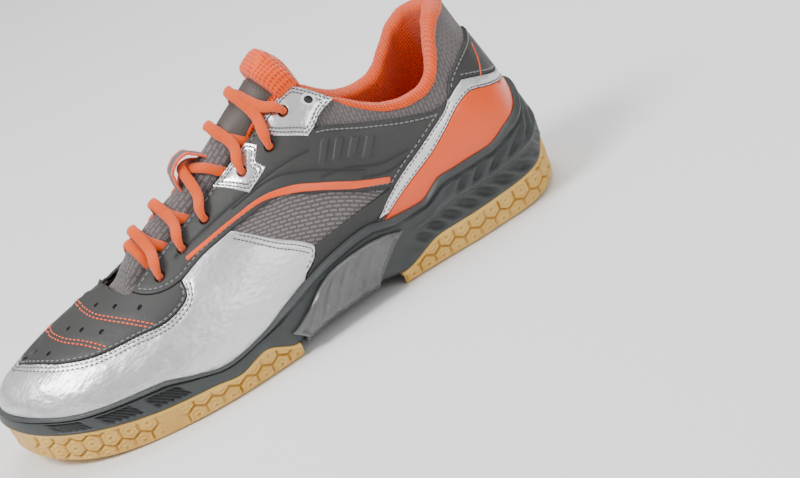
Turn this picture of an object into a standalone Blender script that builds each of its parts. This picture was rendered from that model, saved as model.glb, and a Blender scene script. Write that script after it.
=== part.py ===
"""Left-foot indoor court shoe, built the way a real one is: a cemented sole unit, a lasted
upper of separate panels, a padded collar, a hinged tongue and one long lace.

All design values are millimetres; MM turns them into metres when a mesh is made.
Frame: toe towards -Y, heel towards +Y, outer (lateral) side towards +X, sole on z = 0.

The upper is drawn on the surface of the last. A place on it has two numbers: s, the station
round the foot outline (0 at the toe tip, HEEL at the heel, positive on the lateral side, about
30 mm apart), and h, from 0 at the foot outline to 1 on the ridge line over the foot.
"""
import math

import bmesh
import bpy
import numpy as np
from mathutils.geometry import delaunay_2d_cdt
from mathutils.kdtree import KDTree

MM = 0.001
GAP = 0.3
# Middle of the shoe's box in the design's own coordinates; the finished part stands over it.
CENTRE = (-0.32, 0.18, 0.0)
HEEL = 11
LATTICE = 15.0

# Thickness of each layer, and where it lies from the last's surface (minus is inwards).
MESH_LAYER = (-1.0, 0.0)
OVERLAY_LAYER = (0.3, 1.4)
PATCH_LAYER = (1.7, 2.6)
STIFFENER_LAYER = (-2.1, -1.3)
SHEET_LINING = 0.9
FOAM_FACE = -2.4
ROLL_OVER = 0.5
COLLAR_PAD = 5.5
RIM_DROP = 0.03
SEAM = 0.25

# Sole.
TREAD = 4.0
GUM_WALL = 2.6
GUM_DRAFT = 0.6
GUM_GAP = 0.6
CUP_CLEARANCE = 1.5
SHANK = 1.7
RING_STEP = 1 / 3
FOREFOOT_PAD_END = (-5, 16 / 3)
HEEL_PAD_END = (22 / 3, 15)

# Lace and eyelets.
LACE_RADIUS = 1.4
HOLE_RADIUS = 2.8
LACE_STEP = 8.0
AGLET_LENGTH = 18.0
OVER_EDGE, UNDER = 4.8, -3.0
LOW_STRAND, HIGH_STRAND = 1.2, 4.9
EYELET_LAYER = (2.9, 3.6)
EYELETS = [(7.08, 0.765), (6.6, 0.71), (6.08, 0.75), (5.2, 0.75), (4.65, 0.73), (4.1, 0.70)]
SPARE_EYELET = (7.5, 0.73)
MEDIAL_SHIFT = 0.45

# Tongue, the loop on it as (ridge y, distance from the last), and the plate under the arch.
TONGUE_PAD = 4.0
TONGUE_SHELL_END, TONGUE_END = 29.5, 42
TONGUE_ROLL = 6.6
TONGUE_HINGE = (0.0, -80.0, 56.0)
KEEPER = [(-31, -1.2), (-27, -1.0), (-23.5, 3.4), (-20, 8.6), (-14.5, 10.2), (-9, 8.6), (-5.5, 3.4),
          (-2, -1.0), (1, -1.2)]
KEEPER_WIDTH = 11.0
SHANK_START = 17 / 3
SHANK_TOP = [18, 24, 29, 29.5, 29]

# Height of the foot outline above the ground, of the ground under the tread, and of the midsole's
# underside, all by y.
FOOT_LEVEL = [(-145, 21), (-113, 15), (-86, 12.5), (-57, 11.5), (-27, 11.5), (3, 12.5),
              (33, 14.5), (63, 17), (93, 18.5), (121, 19), (145, 19)]
GROUND = [(-150, 15), (-140, 9.5), (-130, 5.2), (-118, 2), (-104, 0.4), (-92, 0), (108, 0),
          (124, 0.8), (136, 2.6), (148, 6)]
UNDERSIDE = [(-150, 4.3), (-36, 4.3), (-16, 6.8), (2, 9), (22, 9), (38, 7), (52, 4.3), (150, 4.3)]

# Ridge line of the last by y: x, z and the half width of the last's cone above the ankle.
RIDGE = [(-122, -7, 44.5, 0), (-112, -5.5, 49.5, 0), (-95, -3, 55, 0), (-73, 1, 60.5, 0),
         (-50, 3, 67.5, 0), (-25, 4, 78, 0), (0, 4, 90.5, 0), (20, 3.5, 102, 0.5),
         (38, 3, 113, 3.5), (56, 2.5, 118, 9), (80, 2, 118, 16), (104, 1.5, 118, 16),
         (120, 1, 119, 8.5), (126, 0.5, 119, 0)]
# Stations: foot outline x, y; lean of the wall at the foot dx, dy, dz; ridge y; top handle.
LATERAL = [((-10, -139), (0, -7, 15), -122, (0, -14, -1)),
           ((14, -133), (4, -6, 17), -118, (10, -11, -1)),
           ((33, -113), (6, -3, 21), -105, (20, -6, -1)),
           ((44, -86), (6, 0, 24), -83, (26, -1, -1)),
           ((48.5, -57), (5, 0, 27), -58, (27, 0, -1)),
           ((47, -27), (5, 0, 33), -31, (26, 1, -3)),
           ((42, 3), (6, 0, 38), -3, (26, 2, -5)),
           ((38, 33), (8, 0, 40), 26, (26, 3, -7)),
           ((36, 63), (8, 0, 34), 55, (16, 1, -24)),
           ((35, 93), (10, 1, 32), 86, (8, 0, -30)),
           ((29.5, 124), (8, 7, 30), 113, (5, 0, -32)),
           ((2, 139), (0, 8, 26), 126, (0, 0, -32))]
MEDIAL = [((-31, -126), (-3, -4, 15), -117, (-9, -9, -2)),
          ((-45, -101), (-4, -1, 18), -101, (-19, -3, -3)),
          ((-49, -72), (-4, 0, 22), -75, (-24, 0, -3)),
          ((-45.5, -42), (-5, 0, 28), -46, (-26, 1, -3)),
          ((-38, -13), (-6, 0, 36), -19, (-26, 2, -4)),
          ((-32, 16), (-8, 0, 40), 10, (-26, 3, -5)),
          ((-30, 45), (-8, 0, 38), 36, (-22, 3, -12)),
          ((-31, 74), (-7, 0, 32), 65, (-12, 0, -28)),
          ((-31, 102), (-6, 1, 30), 92, (-6, 0, -30)),
          ((-24, 128), (-4, 6, 28), 115, (-4, 0, -32))]

# Edges of the sole unit by station: top of the midsole wall, top of the gum wall, flange width.
WALL_TOP = [(-11, 50.5), (-10.6, 48), (-10.2, 44.5), (-9.8, 42), (-9, 37), (-8, 31), (-7, 33), (-6, 30),
            (-5, 24),
            (-4, 20), (-3, 23), (-2, 25), (-1, 28), (0, 31), (1, 29), (2, 25), (3.2, 24),
            (3.7, 20), (4.2, 16.5), (4.8, 19), (5.5, 26), (6.5, 34), (7.1, 36), (7.6, 32.5),
            (8.1, 31.5), (8.6, 38), (9.4, 38), (9.8, 42), (10.2, 44.5), (10.6, 48),
            (11, 50.5)]
GUM_TOP = [(-11, 23), (-10, 16), (-9, 14), (-8.1, 13), (-7.4, 7), (-6.5, 5.6), (-5.6, 5.6),
           (-4.9, 7), (-4.2, 13), (-3, 13), (-2, 16.5), (-1, 21), (0, 25), (1, 21), (2, 16.5),
           (3, 13), (3.9, 11.5), (4.3, 9.8), (4.8, 13.5), (5.3, 7), (5.9, 5.6), (6.7, 5.6),
           (7.4, 6.5), (8.2, 13.5), (9, 14), (10, 16), (11, 23)]
FLANGE = [(-11, 6), (-9, 6.5), (-7, 5), (-5, 5), (-3, 5), (0, 5), (3, 5), (5, 5), (7, 5),
          (9, 6.5), (11, 6)]

GREY, DARK, ORANGE = (0.24, 0.21, 0.22), (0.07, 0.07, 0.07), (1.0, 0.13, 0.03)
SILVER, GUM, SLATE = (0.62, 0.62, 0.64), (0.72, 0.45, 0.1), (0.06, 0.07, 0.07)


# ---------------------------------------------------------------- curves and the last's surface

def spline(knots, values, at, period=None):
    """Smooth curve through values at knots; with a period it closes on itself."""
    knots, values, at = (np.asarray(a, float) for a in (knots, values, at))
    if period:
        knots = np.concatenate([knots[-2:] - period, knots, knots[:2] + period])
        values = np.concatenate([values[-2:], values, values[:2]])
    slope = np.gradient(values, knots, axis=0)
    i = np.clip(np.searchsorted(knots, at, side="right") - 1, 0, len(knots) - 2)
    width = knots[i + 1] - knots[i]
    t = (at - knots[i]) / width
    if values.ndim > 1:
        t, width = t[..., None], width[..., None]
    return ((1 + 2 * t) * (1 - t) ** 2 * values[i] + t * (1 - t) ** 2 * width * slope[i]
            + t * t * (3 - 2 * t) * values[i + 1] + t * t * (t - 1) * width * slope[i + 1])


def by_table(table, at):
    """Value of a two-column table of hand-set knots, smooth and with no overshoot."""
    x, value = np.array(table, float).T
    at = np.clip(np.asarray(at, float), x[0], x[-1])
    width, rise = np.diff(x), np.diff(value) / np.diff(x)
    pair = rise[:-1] * rise[1:]
    slope = np.zeros(len(x))
    slope[1:-1] = np.where(pair > 0, 2 * pair / np.where(pair > 0, rise[:-1] + rise[1:], 1), 0)
    i = np.clip(np.searchsorted(x, at, side="right") - 1, 0, len(width) - 1)
    t = (at - x[i]) / width[i]
    return ((1 + 2 * t) * (1 - t) ** 2 * value[i] + t * (1 - t) ** 2 * width[i] * slope[i]
            + t * t * (3 - 2 * t) * value[i + 1] + t * t * (t - 1) * width[i] * slope[i + 1])


def round_foot(s):
    """s brought back into one lap of the foot outline."""
    return (np.asarray(s, float) + HEEL) % (2 * HEEL) - HEEL


STATIONS = np.array([[*foot, *lean, ridge, *top] for foot, lean, ridge, top
                     in MEDIAL[::-1] + LATERAL], float)
STATION_S = np.arange(1 - HEEL, HEEL + 1)
RIDGE_ROWS = np.array(RIDGE, float)


def handles(s):
    """The four Bezier points of the wall at station s, and the ridge y that it ends at."""
    s = round_foot(s)
    row = spline(STATION_S, STATIONS, s, 2 * HEEL)
    ridge_y = row[..., 5]
    ridge = spline(RIDGE_ROWS[:, 0], RIDGE_ROWS[:, 1:], ridge_y)
    side = np.where(s < 0, -1.0, 1.0)
    top = np.stack([ridge[..., 0] + side * np.maximum(ridge[..., 2], 0), ridge_y, ridge[..., 1]], -1)
    foot = np.stack([row[..., 0], row[..., 1], by_table(FOOT_LEVEL, row[..., 1])], -1)
    return foot, foot + row[..., 2:5], top + row[..., 6:9], top


def last(s, h):
    """Point of the last's surface, in millimetres."""
    s, h = np.broadcast_arrays(np.asarray(s, float), np.asarray(h, float))
    a, b, c, d = handles(s)
    t = h[..., None]
    return (1 - t) ** 3 * a + 3 * t * (1 - t) ** 2 * b + 3 * t * t * (1 - t) * c + t ** 3 * d


def last_normal(s, h):
    """Outward unit normal of the last's surface."""
    ds, dh = 0.02, 0.004
    h = np.minimum(h, 0.992)
    n = np.cross(last(s + ds, h) - last(s - ds, h), last(s, h + dh) - last(s, h - dh))
    return n / np.maximum(np.linalg.norm(n, axis=-1), 1e-9)[..., None]


DENSE_S = np.linspace(-HEEL, HEEL, 881)
WALL_LENGTH = np.linalg.norm(np.diff(last(DENSE_S[:, None], np.linspace(0, 1, 25)[None]), axis=1),
                             axis=2).sum(1)


def flat(s, h):
    """The last's surface unrolled onto a plane, where outlines are cut and meshed."""
    a, _, _, d = handles(s)
    out = (a - d)[..., :2]
    out = out / np.linalg.norm(out, axis=-1)[..., None]
    length = np.interp(round_foot(s), DENSE_S, WALL_LENGTH)
    return d[..., :2] + out * (length * (1 - np.asarray(h, float)))[..., None]


def top_station(y, side):
    """Station whose ridge point has this y, on the lateral (1) or medial (-1) side."""
    half = DENSE_S[DENSE_S * side >= 0]
    ridge_y = spline(STATION_S, STATIONS[:, 5], half, 2 * HEEL)
    order = np.argsort(ridge_y)
    return np.interp(y, ridge_y[order], half[order])


def smooth(points, step):
    """Points along a smooth curve through the given ones, in any two coordinates."""
    points = np.array(points, float)
    if len(points) == 2:
        knots = np.array([0.0, 1.0])
    else:
        knots = np.concatenate([[0], np.cumsum(np.linalg.norm(np.diff(points, axis=0) * [1, 3], axis=1))])
    count = max(2, int(math.ceil(knots[-1] / step)) if len(points) > 2 else 2)
    return spline(knots, points, np.linspace(0, knots[-1], count + 1))


def side(*points, step=0.5):
    """Part of an outline, given as (s, h)."""
    curve = smooth(points, step)
    if len(points) == 2:
        count = max(1, int(np.linalg.norm((curve[-1] - curve[0]) * [1, 3]) / step))
        curve = np.linspace(curve[0], curve[-1], count + 1)
    return curve


def over(*points, steps=5):
    """Part of an outline that crosses the ridge, given as (ridge y, v): v is 1 - h, minus medially."""
    points = np.array(points, float)
    knots = np.arange(len(points), dtype=float)
    curve = spline(knots, points, np.linspace(0, len(points) - 1, (len(points) - 1) * steps + 1))
    s = np.where(curve[:, 1] >= 0, top_station(curve[:, 0], 1), top_station(curve[:, 0], -1))
    return np.stack([s, 1 - np.abs(curve[:, 1])], 1)


def outline(*parts):
    """One closed outline from its parts, as (s, h) rows."""
    rows = np.concatenate(parts)
    place = flat(rows[:, 0], rows[:, 1])
    keep = np.linalg.norm(place - np.roll(place, 1, axis=0), axis=1) > 0.2
    return rows[keep]


def medial(rows):
    """The outline mirrored to the medial side, whose stations lie a little further back."""
    rows = np.array(rows, float)
    blend = np.clip((np.abs(rows[:, 0]) - 1) / 2, 0, 1) * np.clip((HEEL - rows[:, 0]) / 2, 0, 1)
    rows[:, 0] = -(rows[:, 0] - MEDIAL_SHIFT * blend)
    return rows[::-1]


def hole(s, h, radius=HOLE_RADIUS, sides=8):
    """A round hole, as an outline."""
    centre = last(s, h)
    along = np.linalg.norm(last(s + 0.05, h) - centre) / 0.05
    up = np.linalg.norm(last(s, h + 0.01) - centre) / 0.01
    turn = np.linspace(0, 2 * math.pi, sides, endpoint=False)
    return np.stack([s + radius * np.cos(turn) / along, h + radius * np.sin(turn) / up], 1)


# ---------------------------------------------------------------------------- making the meshes

def make(name, points, faces, colour, roughness=0.6, metallic=0.0):
    """A mesh object from points in millimetres, with its own plain material."""
    bm = bmesh.new()
    rows = [bm.verts.new(tuple((float(v) - c) * MM for v, c in zip(p, CENTRE))) for p in points]
    for face in faces:
        if len(set(face)) == len(face):
            bm.faces.new([rows[i] for i in face])
    bmesh.ops.delete(bm, geom=[v for v in bm.verts if not v.link_faces], context="VERTS")
    bmesh.ops.recalc_face_normals(bm, faces=bm.faces)
    mesh = bpy.data.meshes.new(name)
    bm.to_mesh(mesh)
    bm.free()
    mesh.shade_smooth()
    mesh.set_sharp_from_angle(angle=math.radians(40))
    return place(name, mesh, colour, roughness, metallic)


def place(name, data, colour, roughness, metallic=0.0):
    """Put the data in the scene as one named object with its own material."""
    item = bpy.data.objects.new(name, data)
    bpy.context.scene.collection.objects.link(item)
    material = bpy.data.materials.new(name)
    material.use_nodes = True
    shader = material.node_tree.nodes["Principled BSDF"]
    shader.inputs["Base Color"].default_value = (*colour, 1)
    shader.inputs["Roughness"].default_value = roughness
    shader.inputs["Metallic"].default_value = metallic
    data.materials.append(material)
    return item


def inside(points, loop):
    """Which of the flat points lie inside a closed loop."""
    x, y = points[:, 0, None], points[:, 1, None]
    a, b = loop[None], np.roll(loop, -1, axis=0)[None]
    crosses = (a[..., 1] > y) != (b[..., 1] > y)
    run = np.where(b[..., 1] == a[..., 1], 1e-12, b[..., 1] - a[..., 1])
    return (crosses & (x < a[..., 0] + (y - a[..., 1]) * (b[..., 0] - a[..., 0]) / run)).sum(1) % 2 == 1


class Lattice:
    """A triangular lattice over the unrolled last. Every layer is cut from the same facets, so
    layers that lie on each other never touch."""

    def __init__(self):
        s, h = np.meshgrid(np.linspace(-HEEL, HEEL, 441), np.linspace(-0.14, 1.06, 61), indexing="ij")
        samples = flat(s, h).reshape(-1, 2)
        tree = KDTree(len(samples))
        for i, (x, y) in enumerate(samples):
            tree.insert((x, y, 0), i)
        tree.balance()
        self.row_height = LATTICE * math.sqrt(3) / 2
        low, high = samples.min(0), samples.max(0)
        self.low = low
        self.columns = int((high[0] - low[0]) / LATTICE) + 2
        self.rows = int((high[1] - low[1]) / self.row_height) + 2
        j, i = np.meshgrid(np.arange(self.rows), np.arange(self.columns), indexing="ij")
        self.nodes = np.stack([low[0] + (i + 0.5 * (j % 2)) * LATTICE, low[1] + j * self.row_height], -1)
        near = np.array([tree.find((x, y, 0))[1] for x, y in self.nodes.reshape(-1, 2)])
        place_sh = np.stack([s.reshape(-1)[near], h.reshape(-1)[near]], 1)
        place_sh = self.refine(place_sh, self.nodes.reshape(-1, 2))
        shape = self.nodes.shape[:2]
        self.sh = place_sh.reshape(*shape, 2)
        self.points = last(place_sh[:, 0], place_sh[:, 1]).reshape(*shape, 3)
        self.normals = last_normal(place_sh[:, 0], place_sh[:, 1]).reshape(*shape, 3)

    @staticmethod
    def refine(rows, target):
        """Newton steps from nearby (s, h) to the exact place on the unrolled surface."""
        for _ in range(8):
            here = flat(rows[:, 0], rows[:, 1])
            by_s = (flat(rows[:, 0] + 0.01, rows[:, 1]) - here) / 0.01
            by_h = (flat(rows[:, 0], rows[:, 1] + 0.01) - here) / 0.01
            miss = target - here
            det = by_s[:, 0] * by_h[:, 1] - by_s[:, 1] * by_h[:, 0]
            det = np.where(np.abs(det) < 1e-6, 1e-6, det)
            ds = (miss[:, 0] * by_h[:, 1] - miss[:, 1] * by_h[:, 0]) / det
            dh = (by_s[:, 0] * miss[:, 1] - by_s[:, 1] * miss[:, 0]) / det
            rows = rows + np.clip(np.stack([ds, dh], 1), -0.2, 0.2)
            rows[:, 1] = np.clip(rows[:, 1], -0.3, 1.2)
        return rows

    def corners(self, at):
        """For flat points, the three lattice nodes round each and its weights on them."""
        v = (at[:, 1] - self.low[1]) / self.row_height
        j = np.clip(np.floor(v).astype(int), 0, self.rows - 2)
        v = v - j
        # Each row of facets becomes a sheared grid: cell i has its lower left node at u = i.
        odd = j % 2
        u = (at[:, 0] - self.low[0]) / LATTICE - 0.5 * odd - 0.5 * v
        i = np.floor(u).astype(int)
        u = u - i
        lower = u + v <= 1
        rows = (j + np.where(lower, 0, 1), j, j + 1)
        columns = (np.where(lower, i, i + 1 + odd), i + 1, i + odd)
        weights = (np.where(lower, 1 - u - v, u + v - 1), np.where(lower, u, 1 - v),
                   np.where(lower, v, 1 - u))
        return rows, [np.clip(c, 0, self.columns - 1) for c in columns], weights

    def spread(self, field, points):
        """Values of a field of the nodes at flat points, flat between the nodes."""
        rows, columns, weights = self.corners(points)
        return sum(w[:, None] * field[r, c] for r, c, w in zip(rows, columns, weights))

    def at(self, points):
        """(s, h), surface point and normal at flat points."""
        rows, columns, weights = self.corners(points)
        nearest = np.argmax(weights, axis=0)
        pick = np.arange(len(points))
        start = self.sh[np.array(rows)[nearest, pick], np.array(columns)[nearest, pick]]
        return [self.refine(start, points), self.spread(self.points, points),
                self.spread(self.normals, points)]

    def relief(self, height, points):
        """A height that depends on s and h, at flat points, with the same facets everywhere."""
        field = height(self.sh[..., 0], self.sh[..., 1])
        return self.spread(field[..., None], points)[:, 0]

    def edges_near(self, loop):
        """Lattice edges inside and just round a loop, as flat points and index pairs."""
        low, high = loop.min(0) - LATTICE * 1.2, loop.max(0) + LATTICE * 1.2
        use = ((self.nodes > low) & (self.nodes < high)).all(-1)
        number = -np.ones(use.shape, int)
        number[use] = np.arange(use.sum())
        pairs = []
        for j, i in zip(*np.nonzero(use)):
            shift = j % 2
            for jj, ii in ((j, i + 1), (j + 1, i + shift), (j + 1, i - 1 + shift)):
                if 0 <= jj < self.rows and 0 <= ii < self.columns and use[jj, ii]:
                    pairs.append((int(number[j, i]), int(number[jj, ii])))
        return self.nodes[use], pairs


def drawn_in(loop, gap):
    """A closed loop in the plane made smaller by gap on all sides."""
    ahead = np.roll(loop, -1, axis=0) - loop
    ahead = ahead / np.maximum(np.linalg.norm(ahead, axis=1), 1e-9)[:, None]
    behind = np.roll(ahead, 1, axis=0)
    turn = np.sign((loop[:, 0] * np.roll(loop[:, 1], -1) - loop[:, 1] * np.roll(loop[:, 0], -1)).sum())
    inward = np.stack([-(ahead + behind)[:, 1], (ahead + behind)[:, 0]], 1) * turn
    size = np.maximum(np.linalg.norm(inward, axis=1), 1e-9)[:, None]
    open_out = np.clip(1 + (ahead * behind).sum(1), 0.5, 2)[:, None]
    return loop + inward / size * gap * np.sqrt(2 / open_out)


def cut_out(lattice, rows, holes=(), lines=()):
    """Triangles of the surface inside an outline: flat points and triangles."""
    loops = [drawn_in(flat(rows[:, 0], rows[:, 1]), SEAM)]
    loops += [drawn_in(flat(r[:, 0], r[:, 1]), -SEAM) for r in holes]
    strips = [flat(r[:, 0], r[:, 1]) for r in lines]
    points, pairs = lattice.edges_near(loops[0])
    points = [tuple(p) for p in points]
    for loop, closed in [*((l, True) for l in loops), *((l, False) for l in strips)]:
        first = len(points)
        points += [tuple(p) for p in loop]
        count = len(loop)
        pairs += [(first + k, first + (k + 1) % count) for k in range(count if closed else count - 1)]
    found = delaunay_2d_cdt(points, pairs, [], 0, 0.02)
    flat_points = np.array([tuple(p) for p in found[0]])
    triangles = np.array(found[2])
    middle = flat_points[triangles].mean(1)
    keep = inside(middle, loops[0])
    for loop in loops[1:]:
        keep &= ~inside(middle, loop)
    a, b, c = (flat_points[triangles[:, k]] for k in range(3))
    area = np.abs((b - a)[:, 0] * (c - a)[:, 1] - (b - a)[:, 1] * (c - a)[:, 0])
    return flat_points, triangles[keep & (area > 1e-7)]


def sheet(lattice, name, rows, layer, colour, roughness=0.6, metallic=0.0, holes=(), lines=(),
          relief=None):
    """A flexible piece cut to an outline: a closed solid between two offsets from the last.
    layer is (inner, outer); each is a number or a function of s, h and the relief there."""
    flat_points, triangles = cut_out(lattice, rows, holes, lines)
    sh, points, normals = lattice.at(flat_points)
    height = lattice.relief(relief, flat_points) if relief else np.zeros(len(sh))
    inner, outer = (f(sh[:, 0], sh[:, 1], height) if callable(f) else np.full(len(sh), float(f))
                    for f in layer)
    count = len(points)
    solid = np.concatenate([points + normals * inner[:, None], points + normals * outer[:, None]])
    faces = [tuple(t[::-1]) for t in triangles.tolist()]
    faces += [tuple(i + count for i in t) for t in triangles.tolist()]
    used = {}
    for a, b, c in triangles.tolist():
        for edge in ((a, b), (b, c), (c, a)):
            key = tuple(sorted(edge))
            used[key] = None if key in used else edge
    for edge in used.values():
        if edge:
            a, b = edge
            faces += [(a, b, b + count), (a, b + count, a + count)]
    return make(name, solid, faces, colour, roughness, metallic)


def cap(points, height, step):
    """Triangles that close a ring of points, with inner points at a height given by x and y."""
    ring = np.array(points)[:, :2]
    low, high = ring.min(0), ring.max(0)
    grid = np.stack(np.meshgrid(np.arange(low[0], high[0], step), np.arange(low[1], high[1], step)),
                    -1).reshape(-1, 2) + step / 2
    grid = grid[inside(grid, ring)]
    gap = np.linalg.norm(grid[:, None] - ring[None], axis=2).min(1)
    grid = grid[gap > step * 0.55]
    count = len(ring)
    pairs = [(k, (k + 1) % count) for k in range(count)]
    found = delaunay_2d_cdt([tuple(p) for p in np.concatenate([ring, grid])], pairs, [], 1, 1e-4)
    extra = [(x, y, float(height(y))) for x, y in grid]
    return extra, [tuple(t) for t in found[2]]


def lofted(name, rings, low, high, colour, roughness=0.6, step=16.0):
    """A solid from closed rings of equal count, first to last, closed at both ends."""
    count = len(rings[0])
    points = [tuple(p) for ring in rings for p in ring]
    faces = []
    for r in range(len(rings) - 1):
        for k in range(count):
            a, b = r * count + k, r * count + (k + 1) % count
            faces += [(a, b, b + count), (a, b + count, a + count)]
    for first, height in ((0, low), (len(rings) - 1, high)):
        extra, triangles = cap(rings[first], height, step)
        start = len(points)
        points += extra
        for t in triangles:
            faces.append(tuple(first * count + i if i < count else start + i - count for i in t))
    return make(name, points, faces, colour, roughness)


# --------------------------------------------------------------------------------- the sole unit

def outward(s):
    """Level unit normal of the foot outline."""
    ahead, back = handles(s + 0.05)[0], handles(s - 0.05)[0]
    along = (ahead - back)[..., :2]
    normal = np.stack([-along[..., 1], along[..., 0]], -1)
    normal = normal / np.linalg.norm(normal, axis=-1)[..., None]
    return np.where((normal * handles(s)[0][..., :2]).sum(-1)[..., None] < 0, -normal, normal)


def foot_ring(s, spread, z):
    """Ring round the foot outline, pushed out by spread, at height z."""
    foot = handles(s)[0]
    level = foot[:, :2] + outward(s) * np.broadcast_to(spread, s.shape)[:, None]
    return np.column_stack([level, np.broadcast_to(z, s.shape)])


def wall_ring(s, spread, z):
    """Ring at height z that follows the upper's wall, pushed out by spread."""
    h = np.full(s.shape, 0.1)
    z = np.broadcast_to(z, s.shape)
    for _ in range(8):
        slope = (last(s, h + 0.01)[:, 2] - last(s, h)[:, 2]) / 0.01
        h = np.clip(h + (z - last(s, h)[:, 2]) / np.maximum(slope, 20), 0, 0.7)
    level = last(s, h)[:, :2] + outward(s) * np.broadcast_to(spread, s.shape)[:, None]
    return np.column_stack([level, z])


def ground(y):
    return by_table(GROUND, y)


def underside(y):
    return ground(y) + by_table(UNDERSIDE, y)


def sole_ring_heights(s):
    y = handles(s)[0][:, 1]
    return ground(y), underside(y), by_table(GUM_TOP, s), by_table(WALL_TOP, s), by_table(FLANGE, s)


def make_midsole():
    """Foam cup: floor under the foot, and a wall that holds the upper all round."""
    s = -HEEL + RING_STEP * np.arange(round(2 * HEEL / RING_STEP))
    _, under, gum, top, flange = sole_ring_heights(s)
    foot = handles(s)[0][:, 2]
    on_gum = [any(a - 0.01 < p < b + 0.01 for a, b in (FOREFOOT_PAD_END, HEEL_PAD_END)
                  for p in (q, q + 2 * HEEL)) for q in s]
    recess = flange - (GUM_WALL + GUM_GAP) * np.array(on_gum, float)
    rings = [foot_ring(s, flange - GUM_WALL - 2.2, under),
             foot_ring(s, recess - GUM_DRAFT, under + 0.5),
             wall_ring(s, recess, np.maximum(gum, under + 1.2)),
             wall_ring(s, flange, np.maximum(gum, under + 1.2) + GAP),
             wall_ring(s, flange * 0.45 + 1.6, (gum + top) / 2),
             wall_ring(s, 3.2, top - 0.8),
             wall_ring(s, 2.8, top),
             wall_ring(s, CUP_CLEARANCE, top),
             wall_ring(s, CUP_CLEARANCE, foot + 5),
             foot_ring(s, CUP_CLEARANCE, foot - 0.6)]
    return lofted("midsole", rings, underside, lambda y: by_table(FOOT_LEVEL, y) - 0.6, SLATE, 0.7)


def make_tread(name, ends, crossing):
    """Gum rubber cup outsole for the forefoot or the heel: round the foot outline from one
    station to the other, and back along a bend whose control point is crossing, in (x, y)."""
    s = ends[0] + RING_STEP * np.arange(round((ends[1] - ends[0]) / RING_STEP) + 1)
    s_round = round_foot(s)
    low, under, gum, _, flange = sole_ring_heights(s_round)

    def ring(maker, spread, z):
        wall = maker(s_round, spread, z)
        a, b = wall[-1], wall[0]
        bend = np.array([*crossing, 0.0])
        t = np.linspace(0, 1, 14)[1:-1, None]
        across = (1 - t) ** 2 * a + 2 * t * (1 - t) * bend + t * t * b
        return np.concatenate([wall, across])

    def levelled(rows, z):
        rows = rows.copy()
        rows[len(s):, 2] = [z(y) for y in rows[len(s):, 1]]
        return rows

    floor = low + TREAD
    top = np.maximum(gum, floor + 1.0)
    rings = [levelled(ring(foot_ring, flange - 3.5, low), ground),
             levelled(ring(foot_ring, flange - 0.4, low + 2.5), lambda y: ground(y) + 1.6),
             levelled(ring(wall_ring, flange, top), lambda y: ground(y) + TREAD - 0.2),
             levelled(ring(wall_ring, flange - GUM_WALL, top), lambda y: ground(y) + TREAD - 0.1),
             levelled(ring(foot_ring, flange - GUM_WALL - GUM_DRAFT, floor),
                      lambda y: ground(y) + TREAD)]
    return lofted(name, rings, ground, lambda y: ground(y) + TREAD, GUM, 0.5)


def make_board(name, spread, bottom, thickness, colour, roughness=0.8):
    """A flat piece inside the upper that follows the foot outline."""
    s = np.linspace(-HEEL, HEEL, 44, endpoint=False)
    foot = handles(s)[0][:, 2]
    rings = [foot_ring(s, spread, foot + bottom), foot_ring(s, spread, foot + bottom + thickness)]
    return lofted(name, rings, lambda y: by_table(FOOT_LEVEL, y) + bottom,
                  lambda y: by_table(FOOT_LEVEL, y) + bottom + thickness, colour, roughness, 20.0)


# --------------------------------------------------------------------------------- the upper

def lateral_station(s):
    """Station on the lateral side that lies across from s, for lines shared by both sides."""
    s = round_foot(s)
    back = np.abs(s)
    blend = np.clip((back - 1) / 2, 0, 1) * np.clip((HEEL - back) / 2, 0, 1)
    return np.where(s < 0, back + MEDIAL_SHIFT * blend, back)


def height_at(s, z):
    """h at which the wall at station s reaches height z."""
    s, z = np.broadcast_arrays(np.asarray(s, float), np.asarray(z, float))
    h = np.full(s.shape, 0.1)
    for _ in range(10):
        slope = (last(s, h + 0.01)[..., 2] - last(s, h)[..., 2]) / 0.01
        h = np.clip(h + (z - last(s, h)[..., 2]) / np.maximum(slope, 20), 0, 0.7)
    return h


def rim(start, end, above=0.8, step=RING_STEP):
    """Part of an outline that follows the midsole's top edge, a little above it."""
    count = max(2, int(math.ceil(abs(end - start) / step)))
    s = np.linspace(start, end, count + 1)
    return np.column_stack([s, height_at(s, by_table(WALL_TOP, round_foot(s)) + above)])


def collar_h(s):
    """Height of the collar's edge round the ankle."""
    return by_table(COLLAR_EDGE, lateral_station(s))


def pad_thickness(s, h):
    """Foam behind the collar: full at the edge, and gone lower down and towards the eyestays."""
    rise = np.clip((h - COLLAR_PAD_LOW) / (collar_h(s) - RIM_DROP - COLLAR_PAD_LOW), 0, 1)
    start = np.clip((lateral_station(s) - COLLAR_START) / 0.7, 0, 1)
    return 0.5 + COLLAR_PAD * rise * (2 - rise) * start * (2 - start)


def to_side(h):
    """0 on the tongue's raised middle, 1 where it lies under the eyestays."""
    v = np.clip((1 - h - 0.08) / 0.07, 0, 1)
    return v * v * (3 - 2 * v)


def tongue_top(s, h):
    """Outer face of the tongue: high in the middle, low under the eyestays and the collar."""
    under_collar = np.clip((lateral_station(s) - 6.8) / 0.8, 0, 1)
    return -2.6 - (3.0 + 3.5 * under_collar) * to_side(h)


def ridge_y(s):
    """Where the ridge point of station s lies."""
    return spline(STATION_S, STATIONS[:, 5], round_foot(s), 2 * HEEL)


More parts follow.
